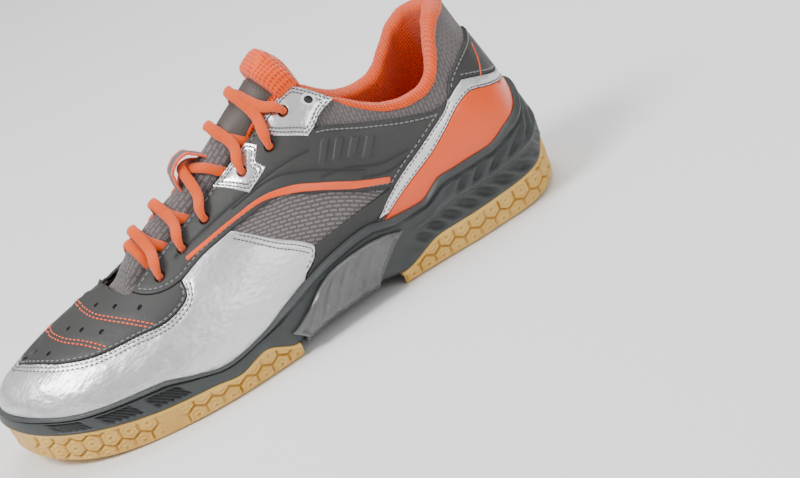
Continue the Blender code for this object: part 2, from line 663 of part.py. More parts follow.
# Borders that neighbouring panels share, as (s, h) on the lateral side.
WRAP_EDGE = side((4.33, 0.59), (4.25, 0.50), (3.9, 0.46), (3.25, 0.485), (2.4, 0.53), (1.98, 0.60),
                 (1.45, 0.72), (0.8, 0.85), (0, 0.90), (-0.55, 0.86), (-0.95, 0.80))
QUARTER_FRONT = side((3.58, 0.76), (3.7, 0.69), (3.9, 0.63), (4.12, 0.60), (4.33, 0.59), step=0.25)
WRAP_TOP = side((4.33, 0.59), (4.8, 0.605), (5.38, 0.585))
VENT_TOP = side((5.38, 0.585), (5.73, 0.56), (6.12, 0.53), (6.33, 0.50), (6.6, 0.43), (6.95, 0.36),
                (7.3, 0.30), (7.78, 0.255))
VENT_LOW = side((7.78, 0.255), (7.33, 0.24), (6.9, 0.235), (6.48, 0.24))
TRIM_FRONT = side((7.38, 0.165), (7.78, 0.24), (8.1, 0.29), (8.47, 0.34), (8.88, 0.40), (9.15, 0.44),
                  (9.3, 0.475))
TRIM_CORNER = side((9.3, 0.475), (9.5, 0.505), (9.64, 0.52), step=0.2)
TRIM_UP = side((9.64, 0.52), (10.4, 0.437), (10.93, 0.40))
TRIM_BACK = side((7.58, 0.165), (7.9, 0.21), (8.25, 0.253), (8.62, 0.30), (9.02, 0.365),
                 (9.43, 0.44), (9.6, 0.455), (9.95, 0.425), (10.4, 0.388), (10.7, 0.372))
QUARTER_TOP = side((9.3, 0.475), (9.1, 0.465), (8.72, 0.49), (8.2, 0.535), (7.75, 0.575), (7.3, 0.615))
EYESTAY_BACK = side((7.3, 0.615), (7.5, 0.65), (7.86, 0.69), step=0.2)
EYESTAY_TOP = side((7.86, 0.69), (7.43, 0.835), step=0.3)
THROAT = side((7.43, 0.835), (6.6, 0.835), (5.6, 0.85), (4.6, 0.84), (3.9, 0.80), (3.58, 0.76))
THROAT_BASE = over((-71, 0.24), (-74.5, 0.12), (-75.5, 0), (-74.5, -0.12), (-71, -0.23), steps=3)
TAB_TOP = side((9.3, 0.475), (9.45, 0.54), (9.8, 0.60), (10.4, 0.635), (11, 0.645))
COLLAR_EDGE = [(7.4, 0.83), (7.73, 0.73), (8, 0.67), (8.22, 0.62), (8.47, 0.585), (8.8, 0.57),
               (9.05, 0.575), (9.3, 0.61), (9.55, 0.69), (9.8, 0.78), (10.1, 0.825), (11, 0.84)]
COLLAR_START, ROLL_START = 7.5, 8.0
COLLAR_PAD_LOW = 0.36


def both(lattice, name, rows, layer, colour, roughness=0.6, metallic=0.0, holes=()):
    """The same piece for the lateral and the medial side."""
    sheet(lattice, name + "_lateral", rows, layer, colour, roughness, metallic, holes)
    sheet(lattice, name + "_medial", medial(rows), layer, colour, roughness, metallic,
          [medial(r) for r in holes])


def make_sides(lattice):
    """Panels that both sides of the upper have."""
    rear = np.concatenate([VENT_LOW[-1:], rim(6.42, 7.38)])
    quarter = outline(QUARTER_FRONT, WRAP_TOP, VENT_TOP, VENT_LOW, rear, TRIM_FRONT, QUARTER_TOP,
                      EYESTAY_BACK, EYESTAY_TOP, THROAT)
    holes = [hole(s, h) for s, h in (*EYELETS, SPARE_EYELET)]
    both(lattice, "quarter", quarter, OVERLAY_LAYER, DARK, 0.6, holes=holes)
    upper = outline(EYESTAY_BACK[::-1], side((7.3, 0.615), (7.13, 0.60)),
                    side((7.13, 0.60), (6.83, 0.69), (6.66, 0.76)), side((6.66, 0.76), (6.62, 0.835)),
                    side((6.62, 0.835), (7.43, 0.835)), EYESTAY_TOP[::-1])
    both(lattice, "upper_eyestay_patch", upper, PATCH_LAYER, SILVER, 0.3, 0.4,
         [hole(*EYELETS[0]), hole(*SPARE_EYELET)])
    lower = outline(side((6.4, 0.838), (6.5, 0.765)), side((6.5, 0.765), (6.32, 0.72)),
                    side((6.32, 0.72), (6.38, 0.655)), side((6.38, 0.655), (5.95, 0.64)),
                    side((5.95, 0.64), (5.6, 0.845)), side((5.6, 0.845), (6.4, 0.838)))
    both(lattice, "lower_eyestay_patch", lower, PATCH_LAYER, SILVER, 0.3, 0.4, [hole(*EYELETS[2])])
    trim = outline(TRIM_FRONT, TRIM_CORNER, TRIM_UP, side((10.93, 0.40), (10.93, 0.36)), TRIM_BACK[::-1])
    both(lattice, "heel_trim", trim, OVERLAY_LAYER, SILVER, 0.35, 0.5)
    panel = outline(TRIM_BACK, rim(10.7, 7.6))
    both(lattice, "heel_panel", panel, OVERLAY_LAYER, ORANGE, 0.3)
    stripe = outline(side((7.9, 0.30), (7.3, 0.355), (6.9, 0.42), (6.5, 0.505), (6.1, 0.575),
                          (5.5, 0.625), (4.6, 0.675)),
                     side((4.6, 0.675), (4.58, 0.645)),
                     side((4.58, 0.645), (5.5, 0.60), (6.05, 0.552), (6.42, 0.48), (6.8, 0.40),
                          (7.2, 0.33), (7.84, 0.275)))
    both(lattice, "quarter_stripe", stripe, PATCH_LAYER, ORANGE, 0.4)


def make_front(lattice):
    wrap = outline(WRAP_EDGE, side((-0.95, 0.80), (-1.02, 0.30)), rim(-1.02, 5.9),
                   side((5.95, 0.17), (6.2, 0.205), (6.3, 0.245), (6.2, 0.285), (5.88, 0.38),
                        (5.38, 0.585)), WRAP_TOP[::-1])
    sheet(lattice, "toe_wrap", wrap, OVERLAY_LAYER, SILVER, 0.35, 0.5)
    vamp = outline(WRAP_EDGE, side((-0.95, 0.80), (-1.0, 0.50)),
                   side((-1.0, 0.50), (-2.2, 0.47), (-3.9, 0.44)), medial(QUARTER_FRONT),
                   THROAT_BASE[::-1], QUARTER_FRONT)
    sheet(lattice, "vamp_panel", vamp, OVERLAY_LAYER, DARK, 0.6)
    guard = outline(side((-1.04, 0.49), (-2.2, 0.46), (-3.9, 0.43)), side((-3.9, 0.43), (-4.1, 0.25)),
                    rim(-4.1, -1.04))
    sheet(lattice, "medial_toe_guard", guard, OVERLAY_LAYER, ORANGE, 0.35)
    puff = outline(side((2.6, 0.06), (0, 0.06), (-2.6, 0.06)), side((-2.6, 0.06), (-2.2, 0.5)),
                   side((-2.2, 0.5), (-1.2, 0.66), (0, 0.76), (1.2, 0.66), (2.2, 0.5)),
                   side((2.2, 0.5), (2.6, 0.06)))
    sheet(lattice, "toe_puff", puff, STIFFENER_LAYER, (0.8, 0.8, 0.75))


def make_body(lattice):
    """The mesh upper, the collar and what is inside it."""
    foot_line = np.column_stack([np.linspace(-HEEL, HEEL, 44, endpoint=False), np.zeros(44)])
    throat = side((7.2, 0.585), (6.2, 0.615), (5, 0.615), (4.2, 0.62), (3.6, 0.70), (3.45, 0.76))
    back = side((11, 0.61), (10.4, 0.60), (9.8, 0.565), (9.5, 0.50), (9.1, 0.445), (8.72, 0.46),
                (8.2, 0.505), (7.75, 0.545), (7.2, 0.585))
    base = over((-72, 0.23), (-75, 0.12), (-76.5, 0), (-75, -0.12), (-72, -0.22), steps=3)
    opening = outline(back, throat, base, medial(throat), medial(back))
    sheet(lattice, "upper_mesh", foot_line, MESH_LAYER, GREY, 0.9, holes=[opening])
    s = np.linspace(COLLAR_START, 2 * HEEL - COLLAR_START + MEDIAL_SHIFT, 26)
    edge = np.column_stack([s, collar_h(s) - RIM_DROP])
    low = np.concatenate([medial(back) + [2 * HEEL, 0], back])
    collar = outline(edge, low[1:-1])
    sheet(lattice, "collar_mesh", collar, MESH_LAYER, GREY, 0.9)
    across = [medial(rows) + [2 * HEEL, 0] for rows in (TAB_TOP, TRIM_CORNER, TRIM_UP)]
    tab = outline(TAB_TOP, across[0], across[1][::-1], across[2][::-1],
                  side((11.07, 0.40), (10.93, 0.40)), TRIM_UP[::-1], TRIM_CORNER[::-1])
    sheet(lattice, "heel_tab", tab, OVERLAY_LAYER, DARK, 0.6)


def make_inside(lattice):
    """Stiffener, foam and lining of the rear half."""
    lap = 2 * HEEL + MEDIAL_SHIFT
    counter = outline(side((8.2, 0.06), (lap - 8.2, 0.06)), side((lap - 8.2, 0.06), (lap - 8.6, 0.36)),
                      side((lap - 8.6, 0.36), (lap - 9.6, 0.47), (11, 0.52), (9.6, 0.47), (8.6, 0.36)),
                      side((8.6, 0.36), (8.2, 0.06)))
    sheet(lattice, "heel_counter", counter, STIFFENER_LAYER, (0.85, 0.85, 0.8))
    s = np.linspace(COLLAR_START + 0.1, lap - COLLAR_START - 0.1, 32)
    top = np.column_stack([s, collar_h(s) - RIM_DROP - 0.018])
    foam = outline(top, side((s[-1], COLLAR_PAD_LOW), (s[0], COLLAR_PAD_LOW), step=0.7))
    sheet(lattice, "collar_foam", foam,
          (lambda s, h, pad: FOAM_FACE - pad, FOAM_FACE), (0.9, 0.85, 0.5), relief=pad_thickness)
    top = np.column_stack([s, collar_h(s) + 0.006])
    step_low = np.column_stack([s, collar_h(s) - RIM_DROP])
    step_high = np.column_stack([s, collar_h(s) - RIM_DROP + 0.022])
    lining = outline(top, side((s[-1], 0.42), (lap - 6.5, 0.40)),
                     side((lap - 6.5, 0.40), (lap - 6.3, 0.06)),
                     side((lap - 6.3, 0.06), (6.3, 0.06), step=0.5), side((6.3, 0.06), (6.5, 0.40)),
                     side((6.5, 0.40), (s[0], 0.42)))

    def rolled(s, h, pad):
        over_rim = h > collar_h(s) - RIM_DROP + 0.012
        return np.where(over_rim & (lateral_station(s) > ROLL_START), ROLL_OVER, FOAM_FACE - GAP - pad)

    sheet(lattice, "collar_lining", lining,
          (lambda s, h, pad: FOAM_FACE - GAP - SHEET_LINING - pad, rolled), ORANGE, 0.9,
          lines=[step_low, step_high], relief=pad_thickness)


def make_tongue(lattice):
    """Padded tongue: outer shell, foam, lining that rolls over its top edge, and a label."""
    def loop(top):
        return outline(over((-78, 0.26), (-50, 0.29), (-15, 0.30), (top, 0.30)),
                       over((top, 0.30), (top, -0.30)),
                       over((top, -0.30), (-15, -0.30), (-50, -0.29), (-78, -0.26)),
                       over((-78, -0.26), (-83, 0), (-78, 0.26)))

    def below(depth):
        return lambda s, h, face: face - depth

    def rolled(s, h, face):
        top = ridge_y(s) > TONGUE_SHELL_END + 1.7
        return face + np.where(top, TONGUE_ROLL * (1 - to_side(h)), -TONGUE_PAD - 1.8)

    sheet(lattice, "tongue_shell", loop(TONGUE_SHELL_END), (below(1.2), below(0)), GREY, 0.8,
          relief=tongue_top)
    sheet(lattice, "tongue_padding", loop(TONGUE_SHELL_END), (below(1.5 + TONGUE_PAD), below(1.5)),
          (0.9, 0.85, 0.5), 0.9, relief=tongue_top)
    steps = [over((TONGUE_SHELL_END + rise, 0.29), (TONGUE_SHELL_END + rise, -0.29)) for rise in (1.2, 2.2)]
    sheet(lattice, "tongue_lining", loop(TONGUE_END), (below(TONGUE_PAD + 2.7), rolled), ORANGE, 0.9,
          lines=steps, relief=tongue_top)
    label = outline(over((10, 0.07), (26, 0.07)), over((26, 0.07), (26, -0.07)),
                    over((26, -0.07), (10, -0.07)), over((10, -0.07), (10, 0.07)))
    sheet(lattice, "tongue_label", label, (below(-0.3), below(-1.1)), DARK, 0.5, relief=tongue_top)


def make_keeper_loop():
    """Ribbon loop on the tongue that the lace passes through."""
    route = smooth(KEEPER, 2.5)
    s = top_station(route[:, 0], 1)
    ridge, normal = last(s, 1.0), last_normal(s, 0.995)
    normal[:, 0] = 0
    normal /= np.linalg.norm(normal, axis=1)[:, None]
    middle = ridge + normal * route[:, 1:]
    along = np.gradient(middle, axis=0)
    across = np.cross(along, [1.0, 0, 0])
    across /= np.linalg.norm(across, axis=1)[:, None]
    corners = [(-KEEPER_WIDTH / 2, -0.5), (KEEPER_WIDTH / 2, -0.5), (KEEPER_WIDTH / 2, 0.5),
               (-KEEPER_WIDTH / 2, 0.5)]
    points = [m + np.array([x, 0, 0]) + n * t for m, n in zip(middle, across) for x, t in corners]
    faces = [(0, 1, 2, 3), tuple(len(points) - 1 - k for k in range(4))]
    for r in range(len(middle) - 1):
        for k in range(4):
            a, b = 4 * r + k, 4 * r + (k + 1) % 4
            faces.append((a, b, b + 4, a + 4))
    make("keeper_loop", points, faces, ORANGE, 0.8)


# -------------------------------------------------------------------------- lace and small parts

def on_side(row, side):
    """An eyelet-side place (s, h, offset), on the lateral (1) or medial (-1) side."""
    s, h, offset = row
    return (s, h, offset) if side > 0 else (-(s - MEDIAL_SHIFT), h, offset)


def tube(name, points, radius, colour, roughness):
    """A round cord or pin along points in millimetres."""
    data = bpy.data.curves.new(name, "CURVE")
    data.dimensions = "3D"
    data.bevel_depth = radius * MM
    data.bevel_resolution = 2
    data.use_fill_caps = True
    strip = data.splines.new("POLY")
    strip.points.add(len(points) - 1)
    for point, place_at in zip(strip.points, points):
        point.co = (*((float(v) - c) * MM for v, c in zip(place_at, CENTRE)), 1)
    return place(name, data, colour, roughness)


def through(row, side):
    """Places of the lace as it comes over the eyestay's edge, goes down an eyelet, and leaves
    under the edge towards the toe."""
    s, h = EYELETS[row]
    return [on_side(place_at, side) for place_at in (
        (s + 0.16, 0.84, OVER_EDGE), (s + 0.04, h + 0.03, OVER_EDGE), (s, h, 3.0), (s, h, -0.6),
        (s - 0.04, h + 0.03, UNDER), (s - 0.14, 0.83, UNDER), (s - 0.22, 0.875, -1.8),
        (s - 0.32, 0.92, 0.0))]


def first_eyelet(side):
    """Places of the lace from its end up through the eyelet nearest the ankle."""
    s, h = EYELETS[0]
    return [on_side(place_at, side) for place_at in (
        (4.9, 0.575, UNDER), (5.5, 0.59, UNDER), (6.1, 0.60, UNDER), (6.6, 0.625, UNDER),
        (6.95, 0.69, UNDER - 0.3), (s - 0.03, h - 0.03, UNDER), (s, h, -0.6), (s, h, 3.0),
        (s - 0.04, h + 0.03, OVER_EDGE), (s - 0.14, 0.84, OVER_EDGE))]


def last_eyelet(side):
    """Places of the lace into the eyelet nearest the toe, and under the eyestay's edge."""
    s, h = EYELETS[-1]
    return [on_side(place_at, side) for place_at in (
        (s + 0.16, 0.84, OVER_EDGE), (s + 0.04, h + 0.03, OVER_EDGE), (s, h, 3.0), (s, h, -0.6),
        (s - 0.02, h + 0.03, UNDER), (s, 0.83, UNDER), (s, 0.90, -1.8))]


def crossing(row, offset):
    """Where the lace crosses the tongue between one row of eyelets and the next."""
    return (EYELETS[row][0] + EYELETS[row + 1][0]) / 2 - (0.06 if row else 0), 1.0, offset


def lace_route(lattice):
    """The lace in millimetres: down the rows from the lateral end, and back up."""
    rows = len(EYELETS)
    going = first_eyelet(1) + [crossing(0, 3.2)]
    for row in range(1, rows - 1):
        going += through(row, 1 if row % 2 == 0 else -1) + [crossing(row, LOW_STRAND)]
    back = first_eyelet(-1) + [crossing(0, 6.6)]
    for row in range(1, rows - 1):
        back += through(row, -1 if row % 2 == 0 else 1) + [crossing(row, HIGH_STRAND)]
    toe_side = 1 if (rows - 1) % 2 == 0 else -1
    going += last_eyelet(toe_side) + [(EYELETS[-1][0], 1.0, -0.6)]
    back += last_eyelet(-toe_side)
    s, h, offset = np.array(going + back[::-1]).T
    _, points, normals = lattice.at(flat(s, h))
    route = points + normals * offset[:, None]
    knots = np.concatenate([[0], np.cumsum(np.linalg.norm(np.diff(route, axis=0), axis=1))])
    at = [knots[0]]
    for a, b in zip(knots, knots[1:]):
        steps = max(1, int((b - a) / LACE_STEP))
        at += list(a + (b - a) * np.arange(1, steps + 1) / steps)
    return spline(knots, route, at)


def make_lace(lattice):
    route = lace_route(lattice)
    tube("lace", route, LACE_RADIUS, ORANGE, 0.9)
    for name, end, inner in (("aglet_lateral", route[0], route[1]), ("aglet_medial", route[-1], route[-2])):
        out = (end - inner) / np.linalg.norm(end - inner)
        tube(name, [end + out * GAP, end + out * (GAP + AGLET_LENGTH)], LACE_RADIUS, ORANGE, 0.3)
    for name, place_sh in (("spare_eyelet_lateral", SPARE_EYELET),
                           ("spare_eyelet_medial", (MEDIAL_SHIFT - SPARE_EYELET[0], SPARE_EYELET[1]))):
        sheet(lattice, name, hole(*place_sh, 4.6, 12), EYELET_LAYER, (0.9, 0.9, 0.9), 0.4,
              holes=[hole(*place_sh, 2.4, 12)])


def make_arch_shank():
    """Translucent plate under the arch, with a leaf up each side of the midsole."""
    lateral = SHANK_START + RING_STEP * np.arange(len(SHANK_TOP))
    across = -(lateral - RING_STEP)
    half = len(lateral)
    s = np.concatenate([lateral, across])
    _, under, gum, top, flange = sole_ring_heights(s)
    leaf = np.array(SHANK_TOP * 2)
    middle = (gum + top) / 2

    def section(clear):
        """Points of every cross-section at this distance outside the midsole."""
        rows = [foot_ring(s, flange - 12, under - clear),
                foot_ring(s, flange - 1.0 + clear * 0.4, under - clear),
                foot_ring(s, flange + clear, under + 0.5),
                wall_ring(s, flange + clear, np.maximum(gum, under + 1.2)),
                wall_ring(s, flange * 0.45 + 1.6 + clear, np.minimum(middle, leaf - 1.5)),
                wall_ring(s, flange * 0.45 + 1.8 + clear, leaf)]
        sides = np.stack(rows, 1)
        return np.concatenate([sides[:half, ::-1], sides[half:]], axis=1)

    inner, outer = section(GAP + 0.1), section(GAP + 0.1 + SHANK)
    count = inner.shape[1]
    points = np.concatenate([inner.reshape(-1, 3), outer.reshape(-1, 3)])
    shift = half * count

    def index(k, p, face):
        return k * count + p + face * shift

    faces = []
    for k in range(half - 1):
        for p in range(count - 1):
            for face in (0, 1):
                a, b, c, d = (index(k, p, face), index(k + 1, p, face), index(k + 1, p + 1, face),
                              index(k, p + 1, face))
                faces += [(a, b, c), (a, c, d)]
        for p in (0, count - 1):
            faces.append((index(k, p, 0), index(k + 1, p, 0), index(k + 1, p, 1), index(k, p, 1)))
    for p in range(count - 1):
        for k in (0, half - 1):
            faces.append((index(k, p, 0), index(k, p + 1, 0), index(k, p + 1, 1), index(k, p, 1)))
    make("arch_shank", points, faces, (0.35, 0.36, 0.36), 0.25)


def hinge_tongue():
    """Parent the tongue's pieces to an empty on the seam that the tongue swings about."""
    hinge = bpy.data.objects.new("tongue_hinge", None)
    bpy.context.scene.collection.objects.link(hinge)
    hinge.location = [(v - c) * MM for v, c in zip(TONGUE_HINGE, CENTRE)]
    for name in ("tongue_shell", "tongue_padding", "tongue_lining", "tongue_label", "keeper_loop"):
        item = bpy.data.objects[name]
        item.parent = hinge
        item.location = -hinge.location


def main():
    for item in list(bpy.data.objects):
        bpy.data.objects.remove(item, do_unlink=True)
    lattice = Lattice()
    make_midsole()
    make_tread("forefoot_outsole", FOREFOOT_PAD_END, (2, -66))
    make_tread("heel_outsole", HEEL_PAD_END, (3, 78))
    make_board("insole_board", -4.0, 0.3, 1.4, (0.75, 0.7, 0.6))
    make_board("sockliner", -6.5, 2.0, 3.6, ORANGE)
    make_sides(lattice)
    make_front(lattice)
    make_body(lattice)
    make_inside(lattice)
    make_tongue(lattice)
    make_keeper_loop()
    make_lace(lattice)
    make_arch_shank()
    hinge_tongue()


main()
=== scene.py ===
"""Looks of the court shoe: fine panels, stitching, padding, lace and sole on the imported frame.

Design values are millimetres, in the same coordinates as the part's own design; finish_piece()
shifts them to the frame and turns them into metres. The upper is drawn on the surface of the last,
where s goes round the foot outline in stations (0 at the toe, 11 at the heel, minus medially) and h
goes from the foot outline (0) to the ridge (1). An offset is a distance from that surface.
"""

import math

import bmesh
import bpy
import numpy as np
from mathutils import Matrix, Vector
from mathutils.geometry import delaunay_2d_cdt
from mathutils.kdtree import KDTree


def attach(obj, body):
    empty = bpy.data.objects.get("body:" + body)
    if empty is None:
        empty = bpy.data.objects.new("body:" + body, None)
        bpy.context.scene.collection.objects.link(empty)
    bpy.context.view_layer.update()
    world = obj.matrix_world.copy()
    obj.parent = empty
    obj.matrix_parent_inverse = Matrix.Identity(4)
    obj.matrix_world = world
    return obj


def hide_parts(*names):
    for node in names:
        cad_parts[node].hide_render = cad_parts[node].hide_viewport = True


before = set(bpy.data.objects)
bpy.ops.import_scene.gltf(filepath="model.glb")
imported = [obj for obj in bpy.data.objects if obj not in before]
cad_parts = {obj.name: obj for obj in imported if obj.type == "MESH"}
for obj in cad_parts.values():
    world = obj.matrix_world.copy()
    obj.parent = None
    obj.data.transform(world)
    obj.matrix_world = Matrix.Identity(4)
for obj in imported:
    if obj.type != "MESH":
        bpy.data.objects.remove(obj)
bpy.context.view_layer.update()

MM = 0.001
HEEL = 11
LAP = 2 * HEEL
STATION_LENGTH = 27
UV_PER_STATION = 0.30
CENTRE = np.array([-0.32, 0.18, 0.0])
COLLAR_PAD = 5.5
FOAM_FACE = -2.4
TREAD = 4.0
GUM_WALL = 2.6
MEDIAL_SHIFT = 0.45
CUP_CLEARANCE = 1.5
EYELETS = [(7.08, 0.765), (6.6, 0.71), (6.08, 0.75), (5.2, 0.75), (4.65, 0.73), (4.1, 0.70)]
SPARE_EYELET = (7.5, 0.73)
EYELET_HOLE = 2.4
RIM_TUCK = -0.6
OVER_EDGE, UNDER = 4.8, -3.0
FIRST_STRANDS = 1.0, 4.0
LOW_STRAND, HIGH_STRAND = -0.3, 2.7
FINE = 0.07
RIM_DROP = 0.03
ROLL_OVER = 0.5
RING_STEP = 1 / 3
FOREFOOT_PAD_END = (-5, 16 / 3)
HEEL_PAD_END = (22 / 3, 15)
TONGUE_PAD, TONGUE_ROLL = 4.0, 5.5
KEEPER = [(-23.4, 5), (-22.5, 8), (-21, 11), (-18.4, 14.1), (-14, 15.1), (-10.4, 14.1), (-8.3, 11),
          (-6.8, 8), (-5.8, 5)]
KEEPER_WIDTH = 9.0
AGLET_LENGTH = 18.0
LACE_WIDTH, LACE_HEIGHT = 5.4, 2.9

# By y: height of the foot outline, height of the ground that the tread follows, and height of the
# midsole's underside above that ground.
FOOT_LEVEL = [(-145, 21), (-113, 15), (-86, 12.5), (-57, 11.5), (-27, 11.5), (3, 12.5),
              (33, 14.5), (63, 17), (93, 18.5), (121, 19), (145, 19)]
GROUND = [(-150, 15), (-140, 9.5), (-130, 5.2), (-118, 2), (-104, 0.4), (-92, 0), (108, 0),
          (124, 0.8), (136, 2.6), (148, 6)]
UNDERSIDE = [(-150, 4.3), (-36, 4.3), (-16, 6.8), (2, 9), (22, 9), (38, 7), (52, 4.3), (150, 4.3)]

# Ridge line of the last by y: x, z and the half width of the last's cone above the ankle.
RIDGE = [(-122, -7, 44.5, 0), (-112, -5.5, 49.5, 0), (-95, -3, 55, 0), (-73, 1, 60.5, 0),
         (-50, 3, 67.5, 0), (-25, 4, 78, 0), (0, 4, 90.5, 0), (20, 3.5, 102, 0.5),
         (38, 3, 113, 3.5), (56, 2.5, 118, 9), (80, 2, 118, 16), (104, 1.5, 118, 16),
         (120, 1, 119, 8.5), (126, 0.5, 119, 0)]
# Stations: foot outline x, y; lean of the wall at the foot dx, dy, dz; ridge y; top handle.
LATERAL = [((-10, -139), (0, -7, 15), -122, (0, -14, -1)),
           ((14, -133), (4, -6, 17), -118, (10, -11, -1)),
           ((33, -113), (6, -3, 21), -105, (20, -6, -1)),
           ((44, -86), (6, 0, 24), -83, (26, -1, -1)),
           ((48.5, -57), (5, 0, 27), -58, (27, 0, -1)),
           ((47, -27), (5, 0, 33), -31, (26, 1, -3)),
           ((42, 3), (6, 0, 38), -3, (26, 2, -5)),
           ((38, 33), (8, 0, 40), 26, (26, 3, -7)),
           ((36, 63), (8, 0, 34), 55, (16, 1, -24)),
           ((35, 93), (10, 1, 32), 86, (8, 0, -30)),
           ((29.5, 124), (8, 7, 30), 113, (5, 0, -32)),
           ((2, 139), (0, 8, 26), 126, (0, 0, -32))]
MEDIAL = [((-31, -126), (-3, -4, 15), -117, (-9, -9, -2)),
          ((-45, -101), (-4, -1, 18), -101, (-19, -3, -3)),
          ((-49, -72), (-4, 0, 22), -75, (-24, 0, -3)),
          ((-45.5, -42), (-5, 0, 28), -46, (-26, 1, -3)),
          ((-38, -13), (-6, 0, 36), -19, (-26, 2, -4)),
          ((-32, 16), (-8, 0, 40), 10, (-26, 3, -5)),
          ((-30, 45), (-8, 0, 38), 36, (-22, 3, -12)),
          ((-31, 74), (-7, 0, 32), 65, (-12, 0, -28)),
          ((-31, 102), (-6, 1, 30), 92, (-6, 0, -30)),
          ((-24, 128), (-4, 6, 28), 115, (-4, 0, -32))]

# Edges of the sole unit by station: top of the midsole's wall, top of the gum's wall, and how far
# the flange stands out from the foot outline.
WALL_TOP = [(-11, 50.5), (-10.6, 48), (-10.2, 44.5), (-9.8, 42), (-9, 37), (-8, 31), (-7, 33),
            (-6, 30), (-5, 24), (-4, 20), (-3, 23), (-2, 25), (-1, 28), (0, 31), (1, 29), (2, 25), (3.2, 24),
            (3.7, 20), (4.2, 16.5), (4.8, 19), (5.5, 26), (6.5, 34), (7.1, 36), (7.6, 32.5),
            (8.1, 31.5), (8.6, 38), (9.4, 38), (9.8, 42), (10.2, 44.5), (10.6, 48),
            (11, 50.5)]
GUM_TOP = [(-11, 23), (-10, 16), (-9, 14), (-8.1, 13), (-7.4, 7), (-6.5, 5.6), (-5.6, 5.6),
           (-4.9, 7), (-4.2, 13), (-3, 13), (-2, 16.5), (-1, 21), (0, 25), (1, 21), (2, 16.5),
           (3, 13), (3.9, 11.5), (4.3, 9.8), (4.8, 13.5), (5.3, 7), (5.9, 5.6), (6.7, 5.6),
           (7.4, 6.5), (8.2, 13.5), (9, 14), (10, 16), (11, 23)]
FLANGE = [(-11, 6), (-9, 6.5), (-7, 5), (-5, 5), (-3, 5), (0, 5), (3, 5), (5, 5), (7, 5),
          (9, 6.5), (11, 6)]

# ---------------------------------------------------------------- curves and the last's surface

def hermite(t, width, a, b, slope_a, slope_b):
    """Cubic from a to b over a step of the given width, at t from 0 to 1."""
    return ((1 + 2 * t) * (1 - t) ** 2 * a + t * (1 - t) ** 2 * width * slope_a
            + t * t * (3 - 2 * t) * b + t * t * (t - 1) * width * slope_b)


def unit(vectors):
    return vectors / np.maximum(np.linalg.norm(vectors, axis=-1), 1e-9)[..., None]


def travelled(line):
    """Distance along a line of points, from 0 at its first one."""
    return np.concatenate([[0], np.cumsum(np.linalg.norm(np.diff(line, axis=0), axis=1))])


def spline(knots, values, at, period=None):
    """Smooth curve through values at knots; with a period it closes on itself."""
    knots, values, at = (np.asarray(a, float) for a in (knots, values, at))
    if period:
        knots = np.concatenate([knots[-2:] - period, knots, knots[:2] + period])
        values = np.concatenate([values[-2:], values, values[:2]])
    slope = np.gradient(values, knots, axis=0)
    i = np.clip(np.searchsorted(knots, at, side="right") - 1, 0, len(knots) - 2)
    width = knots[i + 1] - knots[i]
    t = (at - knots[i]) / width
    if values.ndim > 1:
        t, width = t[..., None], width[..., None]
    return hermite(t, width, values[i], values[i + 1], slope[i], slope[i + 1])


def by_table(table, at):
    """Value of a two-column table of knots, smooth and with no overshoot."""
    x, value = np.array(table, float).T
    at = np.clip(np.asarray(at, float), x[0], x[-1])
    width, rise = np.diff(x), np.diff(value) / np.diff(x)
    pair = rise[:-1] * rise[1:]
    slope = np.zeros(len(x))
    slope[1:-1] = np.where(pair > 0, 2 * pair / np.where(pair > 0, rise[:-1] + rise[1:], 1), 0)
    i = np.clip(np.searchsorted(x, at, side="right") - 1, 0, len(width) - 1)
    t = (at - x[i]) / width[i]
    return hermite(t, width[i], value[i], value[i + 1], slope[i], slope[i + 1])


def round_foot(s):
    """s brought back into one lap of the foot outline."""
    return (np.asarray(s, float) + HEEL) % LAP - HEEL


STATIONS = np.array([[*foot, *lean, ridge, *top] for foot, lean, ridge, top
                     in MEDIAL[::-1] + LATERAL], float)
STATION_S = np.arange(1 - HEEL, HEEL + 1)
RIDGE_ROWS = np.array(RIDGE, float)


def handles(s):
    """The four Bezier points of the wall at station s, and the ridge y that it ends at."""
    s = round_foot(s)
    row = spline(STATION_S, STATIONS, s, LAP)
    ridge_y = row[..., 5]
    ridge = spline(RIDGE_ROWS[:, 0], RIDGE_ROWS[:, 1:], ridge_y)
    side = np.where(s < 0, -1.0, 1.0)
    top = np.stack([ridge[..., 0] + side * np.maximum(ridge[..., 2], 0), ridge_y, ridge[..., 1]], -1)
    foot = np.stack([row[..., 0], row[..., 1], by_table(FOOT_LEVEL, row[..., 1])], -1)
    return foot, foot + row[..., 2:5], top + row[..., 6:9], top


def last(s, h):
    """Point of the last's surface, in millimetres."""
    s, h = np.broadcast_arrays(np.asarray(s, float), np.asarray(h, float))
    a, b, c, d = handles(s)
    t = h[..., None]
    return (1 - t) ** 3 * a + 3 * t * (1 - t) ** 2 * b + 3 * t * t * (1 - t) * c + t ** 3 * d


def last_normal(s, h):
    """Outward unit normal of the last's surface."""
    ds, dh = 0.02, 0.004
    h = np.minimum(h, 0.992)
    return unit(np.cross(last(s + ds, h) - last(s - ds, h), last(s, h + dh) - last(s, h - dh)))


DENSE_S = np.linspace(-HEEL, HEEL, 881)
WALL_LENGTH = np.linalg.norm(np.diff(last(DENSE_S[:, None], np.linspace(0, 1, 25)[None]), axis=1),
                             axis=2).sum(1)


def flat(s, h):
    """The last's surface unrolled onto a plane, where outlines are cut and meshed."""
    a, _, _, d = handles(s)
    out = unit((a - d)[..., :2])
    length = np.interp(round_foot(s), DENSE_S, WALL_LENGTH)
    return d[..., :2] + out * (length * (1 - np.asarray(h, float)))[..., None]


